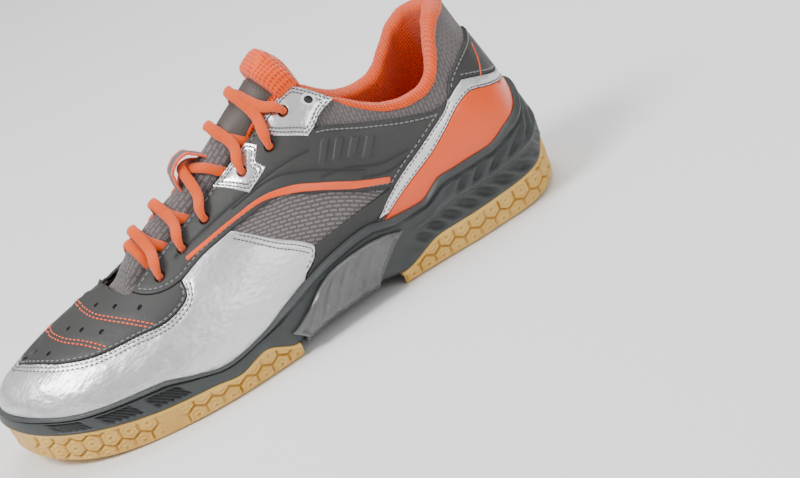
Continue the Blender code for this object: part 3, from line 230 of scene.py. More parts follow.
def top_station(y, side):
    """Station whose ridge point has this y, on the lateral (1) or medial (-1) side."""
    half = DENSE_S[DENSE_S * side >= 0]
    ridge_y = spline(STATION_S, STATIONS[:, 5], half, LAP)
    order = np.argsort(ridge_y)
    return np.interp(y, ridge_y[order], half[order])


def smooth(points, step):
    """Points along a smooth curve through the given ones, in any two coordinates."""
    points = np.array(points, float)
    if len(points) == 2:
        knots = np.array([0.0, 1.0])
    else:
        knots = travelled(points * [1, 3])
    count = max(2, int(math.ceil(knots[-1] / step)) if len(points) > 2 else 2)
    return spline(knots, points, np.linspace(0, knots[-1], count + 1))


def side(*points, step=FINE):
    """Part of an outline, given as (s, h)."""
    curve = smooth(points, step)
    if len(points) == 2:
        count = max(1, int(np.linalg.norm((curve[-1] - curve[0]) * [1, 3]) / step))
        curve = np.linspace(curve[0], curve[-1], count + 1)
    return curve


def over(*points, steps=14):
    """Part of an outline over the ridge, given as (ridge y, v): v is 1 - h, minus medially."""
    points = np.array(points, float)
    knots = np.arange(len(points), dtype=float)
    curve = spline(knots, points, np.linspace(0, len(points) - 1, (len(points) - 1) * steps + 1))
    s = np.where(curve[:, 1] >= 0, top_station(curve[:, 0], 1), top_station(curve[:, 0], -1))
    return np.stack([s, 1 - np.abs(curve[:, 1])], 1)


def outline(*parts):
    """One closed outline from its parts, as (s, h) rows."""
    rows = np.concatenate(parts)
    place = flat(rows[:, 0], rows[:, 1])
    keep = np.linalg.norm(place - np.roll(place, 1, axis=0), axis=1) > 0.2
    return rows[keep]


def shift_share(back):
    """Share of the medial shift at a station: none at the toe and at the heel."""
    return np.clip((back - 1) / 2, 0, 1) * np.clip((HEEL - back) / 2, 0, 1)


def medial(rows):
    """The outline mirrored to the medial side, whose stations lie a little further back."""
    rows = np.array(rows, float)
    rows[:, 0] = -(rows[:, 0] - MEDIAL_SHIFT * shift_share(rows[:, 0]))
    return rows[::-1]


def outward(s):
    """Level unit normal of the foot outline."""
    ahead, back = handles(s + 0.05)[0], handles(s - 0.05)[0]
    along = (ahead - back)[..., :2]
    normal = unit(np.stack([-along[..., 1], along[..., 0]], -1))
    return np.where((normal * handles(s)[0][..., :2]).sum(-1)[..., None] < 0, -normal, normal)


def height_at(s, z):
    """h at which the wall at station s reaches height z."""
    s, z = np.broadcast_arrays(np.asarray(s, float), np.asarray(z, float))
    h = np.full(s.shape, 0.1)
    for _ in range(10):
        slope = (last(s, h + 0.01)[..., 2] - last(s, h)[..., 2]) / 0.01
        h = np.clip(h + (z - last(s, h)[..., 2]) / np.maximum(slope, 20), 0, 0.7)
    return h


def foot_ring(s, spread, z):
    """Ring round the foot outline, pushed out by spread, at height z."""
    foot = handles(s)[0]
    level = foot[:, :2] + outward(s) * np.broadcast_to(spread, s.shape)[:, None]
    return np.column_stack([level, np.broadcast_to(z, s.shape)])


def wall_ring(s, spread, z):
    """Ring at height z that follows the upper's wall, pushed out by spread."""
    level = last(s, height_at(s, z))[:, :2] + outward(s) * np.broadcast_to(spread, s.shape)[:, None]
    return np.column_stack([level, np.broadcast_to(z, s.shape)])


def ground(y):
    return by_table(GROUND, y)


def underside(y):
    return ground(y) + by_table(UNDERSIDE, y)


def lateral_station(s):
    """Station on the lateral side that lies across from s, for lines shared by both sides."""
    s = round_foot(s)
    back = np.abs(s)
    return np.where(s < 0, back + MEDIAL_SHIFT * shift_share(back), back)


def rim(start, end, step=0.04):
    """Part of an outline that follows the midsole's top edge, a little below it."""
    count = max(2, int(math.ceil(abs(end - start) / step)))
    s = np.linspace(start, end, count + 1)
    return np.column_stack([s, height_at(s, by_table(WALL_TOP, round_foot(s)) + RIM_TUCK)])


def collar_h(s):
    """Height of the collar's edge round the ankle."""
    return by_table(COLLAR_EDGE, lateral_station(s))


def pad_thickness(s, h):
    """Foam behind the collar: full at the edge, and gone lower down and towards the eyestays."""
    rise = np.clip((h - COLLAR_PAD_LOW) / (collar_h(s) - RIM_DROP - COLLAR_PAD_LOW), 0, 1)
    start = np.clip((lateral_station(s) - COLLAR_START) / 0.7, 0, 1)
    return 0.5 + COLLAR_PAD * rise * (2 - rise) * start * (2 - start)


def ridge_y(s):
    """Where the ridge point of station s lies."""
    return spline(STATION_S, STATIONS[:, 5], round_foot(s), LAP)


# Borders that neighbouring panels share, as (s, h) on the lateral side.
WRAP_EDGE = side((4.33, 0.59), (4.25, 0.50), (3.9, 0.46), (3.25, 0.485), (2.4, 0.53), (1.98, 0.60),
                 (1.45, 0.72), (0.8, 0.85), (0, 0.90), (-0.55, 0.86), (-0.95, 0.80))
QUARTER_FRONT = side((3.58, 0.76), (3.7, 0.69), (3.9, 0.63), (4.12, 0.60), (4.33, 0.59))
WRAP_TOP = side((4.33, 0.59), (4.8, 0.605), (5.38, 0.585))
VENT_TOP = side((5.38, 0.585), (5.73, 0.56), (6.12, 0.53), (6.33, 0.50), (6.6, 0.43), (6.95, 0.36),
                (7.3, 0.30), (7.78, 0.255))
VENT_LOW = side((7.78, 0.255), (7.33, 0.24), (6.9, 0.235), (6.48, 0.24), (6.3, 0.245))
WRAP_BACK = side((6.3, 0.245), (6.2, 0.205), (5.95, 0.17))
TRIM_FRONT = side((7.38, 0.165), (7.78, 0.24), (8.1, 0.29), (8.47, 0.34), (8.88, 0.40), (9.15, 0.44),
                  (9.3, 0.475))
TRIM_CORNER = side((9.3, 0.475), (9.5, 0.505), (9.64, 0.52))
TRIM_UP = side((9.64, 0.52), (10.4, 0.437), (10.93, 0.40))
TRIM_BACK = side((7.58, 0.165), (7.9, 0.21), (8.25, 0.253), (8.62, 0.30), (9.02, 0.365),
                 (9.43, 0.44), (9.6, 0.455), (9.95, 0.425), (10.4, 0.388), (10.7, 0.372))
QUARTER_TOP = side((9.3, 0.475), (9.1, 0.465), (8.72, 0.49), (8.2, 0.535), (7.75, 0.575), (7.3, 0.615))
EYESTAY_BACK = side((7.3, 0.615), (7.5, 0.65), (7.86, 0.69))
EYESTAY_TOP = side((7.86, 0.69), (7.43, 0.835))
THROAT = side((7.43, 0.835), (6.6, 0.835), (5.6, 0.85), (4.6, 0.84), (3.9, 0.80), (3.58, 0.76))
THROAT_BASE = over((-71, 0.24), (-74.5, 0.12), (-75.5, 0), (-74.5, -0.12), (-71, -0.23))
TAB_TOP = side((9.3, 0.475), (9.45, 0.54), (9.8, 0.60), (10.4, 0.635), (11, 0.645))
COLLAR_EDGE = [(7.4, 0.83), (7.73, 0.73), (8, 0.67), (8.22, 0.62), (8.47, 0.585), (8.8, 0.57),
               (9.05, 0.575), (9.3, 0.61), (9.55, 0.69), (9.8, 0.78), (10.1, 0.825), (11, 0.84)]
COLLAR_START = 7.5
COLLAR_PAD_LOW = 0.36


# --------------------------------------------------------------------------------- fine meshes

class Unrolled:
    """Finds (s, h) for points of the unrolled last."""

    SPACING = 5.0

    def __init__(self):
        s, h = np.meshgrid(np.linspace(-HEEL, HEEL, 441), np.linspace(-0.14, 1.08, 62), indexing="ij")
        samples = flat(s, h).reshape(-1, 2)
        tree = KDTree(len(samples))
        for i, (x, y) in enumerate(samples):
            tree.insert((x, y, 0), i)
        tree.balance()
        self.low = samples.min(0)
        counts = ((samples.max(0) - self.low) / self.SPACING).astype(int) + 2
        grid = np.stack(np.meshgrid(*(np.arange(c) for c in counts), indexing="ij"), -1)
        near = [tree.find((*(self.low + self.SPACING * ij), 0))[1] for ij in grid.reshape(-1, 2)]
        self.seeds = np.stack([s.reshape(-1)[near], h.reshape(-1)[near]], 1).reshape(*counts, 2)

    def __call__(self, points):
        ij = np.round((points - self.low) / self.SPACING).astype(int)
        ij = np.clip(ij, 0, np.array(self.seeds.shape[:2]) - 1)
        rows = self.seeds[ij[:, 0], ij[:, 1]].copy()
        for _ in range(7):
            here = flat(rows[:, 0], rows[:, 1])
            by_s = (flat(rows[:, 0] + 0.01, rows[:, 1]) - here) / 0.01
            by_h = (flat(rows[:, 0], rows[:, 1] + 0.01) - here) / 0.01
            miss = points - here
            det = by_s[:, 0] * by_h[:, 1] - by_s[:, 1] * by_h[:, 0]
            det = np.where(np.abs(det) < 1e-6, 1e-6, det)
            ds = (miss[:, 0] * by_h[:, 1] - miss[:, 1] * by_h[:, 0]) / det
            dh = (by_s[:, 0] * miss[:, 1] - by_s[:, 1] * miss[:, 0]) / det
            rows = rows + np.clip(np.stack([ds, dh], 1), -0.2, 0.2)
        return rows


unrolled = Unrolled()


def raised(s, h, offset):
    """Points at a distance from the last's surface."""
    return last(s, h) + last_normal(s, h) * np.asarray(offset, float)[..., None]


def inside(points, loop):
    """Which of the flat points lie inside a closed loop."""
    result = np.zeros(len(points), bool)
    a, b = loop, np.roll(loop, -1, axis=0)
    for k in range(0, len(points), 4000):
        x, y = points[k:k + 4000, 0, None], points[k:k + 4000, 1, None]
        crosses = (a[:, 1] > y) != (b[:, 1] > y)
        run = np.where(b[:, 1] == a[:, 1], 1e-12, b[:, 1] - a[:, 1])
        hit = crosses & (x < a[:, 0] + (y - a[:, 1]) * (b[:, 0] - a[:, 0]) / run)
        result[k:k + 4000] = hit.sum(1) % 2 == 1
    return result


def distance(points, line, closed=True):
    """Distance from flat points to a line of flat points."""
    a = line if closed else line[:-1]
    b = np.roll(line, -1, axis=0) if closed else line[1:]
    run = b - a
    length2 = np.maximum((run ** 2).sum(1), 1e-12)
    result = np.empty(len(points))
    for k in range(0, len(points), 3000):
        off = points[k:k + 3000, None] - a[None]
        t = np.clip((off * run).sum(2) / length2, 0, 1)
        result[k:k + 3000] = np.sqrt(((off - run * t[..., None]) ** 2).sum(2).min(1))
    return result


def beside(line, step):
    """An open line of flat points moved to its left by step."""
    along = unit(np.gradient(line, axis=0))
    return line + np.stack([-along[:, 1], along[:, 0]], 1) * step


def drawn_in(loop, gap):
    """A closed loop in the plane made smaller by gap on all sides."""
    ahead = unit(np.roll(loop, -1, axis=0) - loop)
    behind = np.roll(ahead, 1, axis=0)
    turn = np.sign((loop[:, 0] * np.roll(loop[:, 1], -1) - loop[:, 1] * np.roll(loop[:, 0], -1)).sum())
    inward = unit(np.stack([-(ahead + behind)[:, 1], (ahead + behind)[:, 0]], 1) * turn)
    open_out = np.clip(1 + (ahead * behind).sum(1), 0.5, 2)[:, None]
    return loop + inward * gap * np.sqrt(2 / open_out)


def resampled(line, step):
    """Points at equal steps along a line."""
    knots = travelled(line)
    at = np.linspace(0, knots[-1], max(2, int(round(knots[-1] / step)) + 1))
    return np.stack([np.interp(at, knots, line[:, k]) for k in range(line.shape[1])], 1)


def nearest(points, lines):
    """Distance from flat points to the nearest of some open lines."""
    return np.min([np.full(len(points), 99.0)] + [distance(points, line, False) for line in lines], axis=0)


def closed_line(line):
    return np.concatenate([line, line[:1]])


def around(s, h, x, y):
    """(s, h) rows of places that lie x millimetres along and y up from one point."""
    centre = last(s, h)
    along = np.linalg.norm(last(s + 0.05, h) - centre) / 0.05
    up = np.linalg.norm(last(s, h + 0.01) - centre) / 0.01
    return np.stack([s + x / along, h + y / up], 1)


def full_turn(sides):
    return np.linspace(0, 2 * math.pi, sides, endpoint=False)


def hole(s, h, radius, sides=20):
    """A round hole, as (s, h) rows."""
    turn = full_turn(sides)
    return around(s, h, radius * np.cos(turn), radius * np.sin(turn))


def finish_piece(name, points, faces, look, body="root", replaces=None, uv=None, angle=50, painted_shade=None):
    """A mesh piece from design points, riding on a body. It replaces the CAD node of its own name
    unless others are given, and its per-point level of painted shade darkens its pressed-in parts."""
    material, slot = look
    mesh = bpy.data.meshes.new(name)
    mesh.from_pydata([tuple(p) for p in (np.asarray(points) - CENTRE) * MM], [], faces)
    if uv is not None:
        layer = mesh.uv_layers.new(name="UVMap")
        corner = np.zeros(len(mesh.loops), int)
        mesh.loops.foreach_get("vertex_index", corner)
        layer.data.foreach_set("uv", np.asarray(uv, float)[corner].ravel())
    # Per-point level of painted shade in recesses, read by materials that paint shade there.
    if painted_shade is not None:
        level = np.clip(np.resize(np.asarray(painted_shade, float), len(mesh.vertices)), 0, 1)
        shade = mesh.color_attributes.new("painted_shade", "FLOAT_COLOR", "POINT")
        shade.data.foreach_set("color", np.repeat(level[:, None], 4, 1).ravel())
    bm = bmesh.new()
    bm.from_mesh(mesh)
    bmesh.ops.delete(bm, geom=[v for v in bm.verts if not v.link_faces], context="VERTS")
    bmesh.ops.recalc_face_normals(bm, faces=bm.faces)
    bm.to_mesh(mesh)
    bm.free()
    mesh.shade_smooth()
    mesh.set_sharp_from_angle(angle=math.radians(angle))
    mesh.materials.append(material)
    item = bpy.data.objects.new(name, mesh)
    bpy.context.scene.collection.objects.link(item)
    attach(item, body)
    replaces = replaces or [n for n in (name,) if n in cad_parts]
    if replaces:
        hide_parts(*replaces)
    return item


def skin(rows, holes, grooves, spacing, edge):
    """Fine triangles inside an outline, following its edges and grooves: flat points, triangles,
    and each point's distance from the edge."""
    loops = [drawn_in(flat(rows[:, 0], rows[:, 1]), 0.12)]
    loops += [flat(r[:, 0], r[:, 1]) for r in holes]
    outer = loops[0]
    low, high = outer.min(0), outer.max(0)
    row_step = spacing * math.sqrt(3) / 2
    j, i = np.meshgrid(np.arange(int((high[1] - low[1]) / row_step) + 2),
                       np.arange(int((high[0] - low[0]) / spacing) + 2), indexing="ij")
    lattice = np.stack([low[0] + (i + 0.5 * (j % 2)) * spacing, low[1] + j * row_step], -1).reshape(-1, 2)
    free = []
    for loop in loops:
        sign = 1 if loop is outer else -1
        free += [drawn_in(loop, sign * edge * f) for f in (0.3, 1.0, 2.0)]
    for line in grooves:
        line = resampled(line, 1.2)
        free += [line] + [beside(line, w) for w in (-0.7, -0.35, 0.35, 0.7)]
    near = [(line, 0.7 + spacing * 0.5) for line in grooves]
    keep = inside(lattice, outer)
    lattice = lattice[keep]
    for loop in loops:
        lattice = lattice[distance(lattice, loop) > 2 * edge + spacing * 0.4]
    for line, gap in near:
        lattice = lattice[distance(lattice, line, False) > gap]
    free = np.concatenate(free)
    free = free[inside(free, outer)]
    for loop in loops:
        free = free[distance(free, loop) > edge * 0.25]
    points = [tuple(p) for loop in loops for p in loop]
    pairs, first = [], 0
    for loop in loops:
        pairs += [(first + k, first + (k + 1) % len(loop)) for k in range(len(loop))]
        first += len(loop)
    points += [tuple(p) for p in free] + [tuple(p) for p in lattice]
    found = delaunay_2d_cdt(points, pairs, [], 0, 0.01)
    flat_points = np.array([tuple(p) for p in found[0]])
    triangles = np.array(found[2])
    middle = flat_points[triangles].mean(1)
    keep = inside(middle, outer)
    for loop in loops[1:]:
        keep &= ~inside(middle, loop)
    triangles = triangles[keep]
    from_edge = np.min([distance(flat_points, loop) for loop in loops], axis=0)
    return flat_points, triangles, from_edge


def panel(name, rows, base, thick, look, holes=(), grooves=(), spacing=2.2, edge=0.4, depth=0.22,
          relief=None, lap=False, creases=(), bars=()):
    """A sheet panel with rounded edges: a closed piece whose top is base + thick above the last.
    grooves lie under stitches, creases are pressed lines, and bars are embossed outlines."""
    lines = [*grooves, *creases, *(closed_line(bar) for bar in bars)]
    flat_points, triangles, from_edge = skin(rows, holes, lines, spacing, edge)
    from_groove = nearest(flat_points, grooves)
    from_crease = nearest(flat_points, creases)
    embossed = np.zeros(len(flat_points))
    for bar in bars:
        reach = np.where(inside(flat_points, bar), 1, -1) * distance(flat_points, bar)
        embossed = np.maximum(embossed, np.clip(reach / 0.5 + 0.5, 0, 1))
    sh = unrolled(flat_points)
    s, h = sh[:, 0], sh[:, 1]
    ramp = np.clip(from_edge / edge, 0, 1)
    rounded = 0.35 + 0.65 * np.sqrt(np.clip(1 - (1 - ramp) ** 2, 0, 1))
    pressed = np.exp(-(from_crease / 0.55) ** 2)
    top = base + thick * rounded - depth * np.exp(-(from_groove / 0.4) ** 2) - 0.5 * pressed + 0.7 * embossed
    bottom = np.full(len(s), float(base))
    if relief is not None:
        extra = relief(s, h)
        top, bottom = top + extra, bottom + extra
    surface, normal = last(s, h), last_normal(s, h)
    count = len(s)
    points = np.concatenate([surface + normal * top[:, None], surface + normal * bottom[:, None]])
    faces = [tuple(t) for t in triangles.tolist()]
    faces += [tuple(i + count for i in t[::-1]) for t in triangles.tolist()]
    used = {}
    for a, b, c in triangles.tolist():
        for pair in ((a, b), (b, c), (c, a)):
            key = (min(pair), max(pair))
            used[key] = None if key in used else pair
    faces += [(b, a, a + count, b + count) for a, b in (p for p in used.values() if p)]
    run = np.where(s < 0, s + LAP, s) if lap else s
    uv = np.stack([run * UV_PER_STATION, h], 1)
    # Painted shade level: darker along the stitch grooves and the pressed creases.
    painted_shade = 0.5 * np.exp(-(from_groove / 0.35) ** 2) + 0.8 * pressed
    return finish_piece(name, points, faces, look, uv=np.concatenate([uv, uv]),
                        painted_shade=np.concatenate([painted_shade, painted_shade * 0]))


class Stitches:
    """Collects sewn stitches of one thread, and makes them one piece."""

    RING = 6

    def __init__(self):
        self.points, self.faces = [], []

    def add(self, centre, along, out, length, width):
        """One stitch per row: its middle, direction, the surface's normal, and its size."""
        side = np.cross(along, out)
        base = sum(len(p) for p in self.points)
        shape = ((-0.5, 0.25), (-0.38, 0.85), (0.0, 1.0), (0.38, 0.85), (0.5, 0.25))
        rings = []
        for t, wide in shape:
            for a in full_turn(self.RING):
                rings.append(centre + along * (t * length) + side * (math.cos(a) * width / 2 * wide)
                             + out * (math.sin(a) * width * 0.36 * wide - 0.12 * abs(t)))
        block = np.stack(rings, 1).reshape(-1, 3)
        self.points.append(block)
        size, n = len(shape) * self.RING, self.RING
        pattern = ring_faces(len(shape), n) + [tuple(range(n))[::-1], tuple(range(size - n, size))]
        for i in range(len(centre)):
            self.faces += [tuple(base + i * size + v for v in face) for face in pattern]

    def row(self, line, height, pitch=2.9, length=2.0, width=0.75):
        """Stitches along a flat line, at a height above the last (a number or a function)."""
        steps = resampled(line, pitch)
        middle = (steps[1:] + steps[:-1]) / 2
        aim = unit(steps[1:] - steps[:-1])
        sh, ahead = unrolled(middle), unrolled(middle + aim)
        offset = height(sh[:, 0], sh[:, 1]) if callable(height) else np.full(len(middle), height)
        centre = raised(sh[:, 0], sh[:, 1], offset)
        along = unit(raised(ahead[:, 0], ahead[:, 1], offset) - centre)
        self.add(centre, along, last_normal(sh[:, 0], sh[:, 1]), length, width)

    def make(self, name, look, body="root"):
        return finish_piece(name, np.concatenate(self.points), self.faces, look, body)


def flat_line(rows):
    return flat(rows[:, 0], rows[:, 1])


def ring_faces(rows, count):
    """Quads between neighbouring rings of count points."""
    pairs = [(r * count + k, r * count + (k + 1) % count) for r in range(rows - 1) for k in range(count)]
    return [(a, b, b + count, a + count) for a, b in pairs]


def sheet(top, bottom):
    """Points and faces of a closed sheet, from a grid of points for each of its sides."""
    rows, columns = top.shape[:2]
    size = rows * columns
    index = np.arange(size).reshape(rows, columns)
    corners = index[:-1, :-1], index[1:, :-1], index[1:, 1:], index[:-1, 1:]
    faces = list(zip(*(part.ravel().tolist() for part in corners)))
    faces += [tuple(i + size for i in face[::-1]) for face in faces]
    edge = [*index[0], *index[1:, -1], *index[-1, -2::-1], *index[-2:0:-1, 0]]
    faces += [(int(a), int(b), int(b) + size, int(a) + size) for a, b in zip(edge, edge[1:] + edge[:1])]
    return np.concatenate([top.reshape(-1, 3), bottom.reshape(-1, 3)]), faces


def lofted(name, rings, look, uv, **others):
    """A piece from rings of points, first to last, closed at both ends."""
    count = len(rings[0])
    points = np.concatenate(rings)
    faces = ring_faces(len(rings), count)
    for first in (0, (len(rings) - 1) * count):
        faces += [(first + k, first + (k + 1) % count, len(points)) for k in range(count)]
        points = np.concatenate([points, [points[first:first + count].mean(0)]])
        uv = np.concatenate([uv, uv[first:first + 1]])
    return finish_piece(name, points, faces, look, uv=uv, **others)


def ellipse(width, height, sides=14):
    turn = full_turn(sides)
    return np.stack([np.cos(turn) * width / 2, np.sin(turn) * height / 2], 1)


def swept(name, route, ups, section, look, scale=None, **others):
    """A section carried along a route; ups are the directions of the section's second axis."""
    along = unit(np.gradient(route, axis=0))
    side = unit(np.cross(along, ups))
    up = np.cross(side, along)
    scale = np.ones((len(route), 2)) if scale is None else scale
    rings = [p + np.outer(section[:, 0] * k[0], a) + np.outer(section[:, 1] * k[1], b)
             for p, a, b, k in zip(route, side, up, scale)]
    round_u = np.arange(len(section)) / len(section)
    uv = np.stack([np.repeat(travelled(route) / 100, len(section)), np.tile(round_u, len(route))], 1)
    return lofted(name, rings, look, uv, **others)


# ----------------------------------------------------------------------------------- materials

class Finish:
    """A Principled material with small helpers for its texture nodes."""

    def __init__(self, name, colour, roughness, metallic=0.0, **sockets):
        self.material = bpy.data.materials.new(name)
        self.material.use_nodes = True
        self.tree = self.material.node_tree
        self.shader = self.tree.nodes["Principled BSDF"]
        self.set("Base Color", (*colour, 1))
        self.set("Roughness", roughness)
        self.set("Metallic", metallic)
        for key, value in sockets.items():
            self.set(key.replace("_", " "), value)
        self.colour = colour
        self.normal = None

    def set(self, socket, value):
        self.shader.inputs[socket].default_value = value

    def node(self, kind, **values):
        item = self.tree.nodes.new(kind)
        for key, value in values.items():
            if hasattr(item, key):
                setattr(item, key, value)
            else:
                item.inputs[key.replace("_", " ")].default_value = value
        return item

    def link(self, a, b):
        self.tree.links.new(a, b)

    def where(self, scale=(1, 1, 1), uv=False, turn=0.0):
        source = self.node("ShaderNodeTexCoord").outputs["UV" if uv else "Object"]
        mapping = self.node("ShaderNodeMapping")
        mapping.inputs["Scale"].default_value = scale
        mapping.inputs["Rotation"].default_value = (0, 0, turn)
        self.link(source, mapping.inputs["Vector"])
        return mapping.outputs["Vector"]

    def noise(self, scale, detail=3.0, where=None):
        item = self.node("ShaderNodeTexNoise", Scale=scale, Detail=detail)
        self.link(where or self.where(), item.inputs["Vector"])
        return item.outputs["Fac"]

    def cells(self, scale, where=None):
        item = self.node("ShaderNodeTexVoronoi", feature="SMOOTH_F1", Scale=scale)
        self.link(where or self.where(), item.inputs["Vector"])
        return item.outputs["Distance"]

    def maths(self, operation, a, b=None):
        item = self.node("ShaderNodeMath", operation=operation)
        for socket, value in zip(item.inputs, (a, b)):
            if value is None:
                continue
            if isinstance(value, (int, float)):
                socket.default_value = value
            else:
                self.link(value, socket)
        return item.outputs[0]

    def diamonds(self, scale, turn_u, turn_v):
        """Diamond grid from 0 to 1, with turn_u and turn_v radians to a unit of the scaled UV."""
        split = self.node("ShaderNodeSeparateXYZ")
        self.link(self.where(scale, uv=True), split.inputs[0])
        u = self.maths("MULTIPLY", split.outputs[0], turn_u)
        v = self.maths("MULTIPLY", split.outputs[1], turn_v)
        waves = [self.maths("SINE", self.maths(way, u, v)) for way in ("ADD", "SUBTRACT")]
        return self.maths("ADD", self.maths("MULTIPLY", self.maths("MULTIPLY", *waves), 0.5), 0.5)

    def ramp(self, factor, low, high, a=(0, 0, 0, 1), b=(1, 1, 1, 1)):
        item = self.node("ShaderNodeValToRGB")
        item.color_ramp.elements[0].position = low
        item.color_ramp.elements[1].position = high
        item.color_ramp.elements[0].color = a
        item.color_ramp.elements[1].color = b
        self.link(factor, item.inputs["Fac"])
        return item.outputs["Color"]

    def tint(self, factor, a, b):
        """Base colour between a and b."""
        item = self.node("ShaderNodeMix", data_type="RGBA")
        self.link(factor, item.inputs[0])
        for socket, value in ((item.inputs[6], a), (item.inputs[7], b)):
            if isinstance(value, tuple):
                socket.default_value = (*value, 1)
            else:
                self.link(value, socket)
        self.link(item.outputs[2], self.shader.inputs["Base Color"])
        return item.outputs[2]

    def paint_recess_shade(self, deep):
        """Painted shade: a darker colour where the mesh's painted-shade attribute is high, in pressed grooves
        and other recesses.
        """
        shaded = self.shader.inputs["Base Color"].links[0].from_socket
        painted_shade = self.node("ShaderNodeAttribute", attribute_name="painted_shade")
        item = self.node("ShaderNodeMix", data_type="RGBA")
        self.link(painted_shade.outputs["Fac"], item.inputs[0])
        self.link(shaded, item.inputs[6])
        item.inputs[7].default_value = (*deep, 1)
        self.link(item.outputs[2], self.shader.inputs["Base Color"])

    def rough(self, factor, low, high):
        item = self.node("ShaderNodeMapRange")
        item.inputs["To Min"].default_value = low
        item.inputs["To Max"].default_value = high
        self.link(factor, item.inputs["Value"])
        self.link(item.outputs["Result"], self.shader.inputs["Roughness"])

    def bump(self, height, distance, strength=1.0):
        item = self.node("ShaderNodeBump", Distance=distance, Strength=strength)
        self.link(height, item.inputs["Height"])
        if self.normal:
            self.link(self.normal, item.inputs["Normal"])
        self.normal = item.outputs["Normal"]
        self.link(self.normal, self.shader.inputs["Normal"])


ORANGE = (0.90, 0.085, 0.0)


def shade(colour, share):
    return tuple(c * share for c in colour)


def speckled(name, colour, roughness, bumps, rough=None, tint=None, painted_shade=None, **sockets):
    """A material with uneven noise. bumps are (scale, detail, distance, strength), where no detail
    means soft cells; rough is (scale, detail, low, high); tint is (scale, detail, start, end, dark,
    light); and the last colour argument is the painted shade of pressed-in parts."""
    f = Finish(name, colour, roughness, **sockets)
    for scale, detail, distance, strength in bumps:
        f.bump(f.noise(scale, detail) if detail else f.cells(scale), distance, strength)
    if rough:
        f.rough(f.noise(*rough[:2]), *rough[2:])
    if tint:
        f.tint(f.ramp(f.noise(*tint[:2]), *tint[2:4]), *tint[4:])
    if painted_shade:
        f.paint_recess_shade(painted_shade)
    return f.material


def silver_leather():
    """Metallic coated synthetic leather with a fine crinkled grain."""
    f = Finish("silver_leather", (0.72, 0.72, 0.73), 0.34, 0.75, Specular_IOR_Level=0.6)
    stretched = f.where((1.0, 0.55, 1.0))
    f.bump(f.cells(620, stretched), 0.0005, 0.35)
    f.bump(f.noise(260, 5.0, stretched), 0.0012, 0.35)
    f.bump(f.noise(28, 2.0), 0.004, 0.18)
    f.rough(f.noise(180, 4.0), 0.27, 0.46)
    f.tint(f.ramp(f.noise(45, 3.0), 0.3, 0.75), (0.66, 0.66, 0.68), (0.78, 0.78, 0.78))
    return f.material


def dark_synthetic(name="dark_synthetic", colour=(0.038, 0.038, 0.037)):
    """Matt coated synthetic with a fine pebble, and painted shade in its pressed-in parts."""
    return speckled(name, colour, 0.52, [(900, None, 0.0003, 0.3), (60, 3, 0.0012, 0.15)],
                    (150, 4, 0.46, 0.62), (35, 4, 0.3, 0.8, shade(colour, 0.9), shade(colour, 1.12)),
                    shade(colour, 0.35), Specular_IOR_Level=0.4)


def orange_film(name="orange_film", colour=ORANGE, roughness=0.28):
    return speckled(name, colour, roughness, [(140, 3, 0.0008, 0.2)],
                    (90, 3, roughness - 0.06, roughness + 0.1),
                    (30, 2, 0.3, 0.8, shade(colour, 0.93), colour), Coat_Weight=0.25, Coat_Roughness=0.2)


def thread(name, colour):
    return speckled(name, colour, 0.6, [(2600, 2, 0.0002, 0.5)], None,
                    (900, 2, 0.3, 0.8, shade(colour, 0.8), colour), Sheen_Weight=0.2)


def plain_board(name, colour):
    return speckled(name, colour, 0.85, [(700, 4, 0.0003, 0.5)], None,
                    (90, 4, 0.3, 0.8, shade(colour, 0.85), colour))


def knit_mesh(name, turn, dashes=0.6):
    """Open taupe mesh: a fine ribbed weave, with slanted rows of lighter raised dashes."""
    f = Finish(name, (0.21, 0.175, 0.175), 0.85, Sheen_Weight=0.2, Sheen_Roughness=0.5)
    shift = f.node("ShaderNodeVectorMath", operation="ADD")
    f.link(f.where((100, 100, 1), uv=True, turn=turn), shift.inputs[0])
    sway = f.node("ShaderNodeTexNoise", Scale=0.12, Detail=0.0)
    f.link(f.where((100, 100, 1), uv=True), sway.inputs["Vector"])
    f.link(sway.outputs["Color"], shift.inputs[1])

    def weave(width, row, gap, smooth_edge):
        brick = f.node("ShaderNodeTexBrick", offset=0.5)
        for key, value in (("Scale", 1.0), ("Mortar Size", gap), ("Mortar Smooth", smooth_edge),
                           ("Brick Width", width), ("Row Height", row), ("Bias", 0.0)):
            brick.inputs[key].default_value = value
        f.link(shift.outputs["Vector"], brick.inputs["Vector"])
        return f.maths("SUBTRACT", 1.0, brick.outputs["Fac"])

    fine = weave(1.3, 0.55, 0.12, 1.0)
    dash = f.maths("MULTIPLY", weave(4.2, 1.7, 0.58, 0.5), dashes)
    fibre = f.noise(2200, 2.0)
    ground_colour = f.ramp(fine, 0.0, 0.9, (0.030, 0.024, 0.025, 1), (0.135, 0.112, 0.113, 1))
    f.tint(f.maths("MULTIPLY", dash, fine), ground_colour, (0.40, 0.365, 0.36))
    f.bump(f.maths("ADD", fine, f.maths("MULTIPLY", dash, 0.8)), 0.0006, 0.8)
    f.bump(fibre, 0.0003, 0.4)
    return f.material


def air_mesh(name, colour, deep, pitch=2.0):
    """Soft lining mesh with a diamond grid of dimples."""
    f = Finish(name, colour, 0.9, Sheen_Weight=0.35, Sheen_Roughness=0.4)
    turn = 2 * math.pi / pitch * 0.55
    dots = f.diamonds((100, 100, 1), turn, turn)
    f.tint(f.ramp(dots, 0.1, 0.55), deep, colour)
    f.bump(dots, 0.0009, 0.8)
    f.bump(f.noise(2500, 2.0), 0.0003, 0.35)
    return f.material


def lace_knit():
    f = Finish("lace_knit", (1.0, 0.16, 0.045), 0.82, Sheen_Weight=0.3, Sheen_Roughness=0.4)
    weave = f.diamonds((100, 24, 1), 2 * math.pi / 1.3, 2 * math.pi / 2.0)
    f.tint(f.ramp(weave, 0.0, 0.7), (0.70, 0.05, 0.0), (0.95, 0.12, 0.0))
    f.bump(weave, 0.0005, 0.7)
    f.bump(f.noise(1800, 2.0), 0.0003, 0.4)
    return f.material


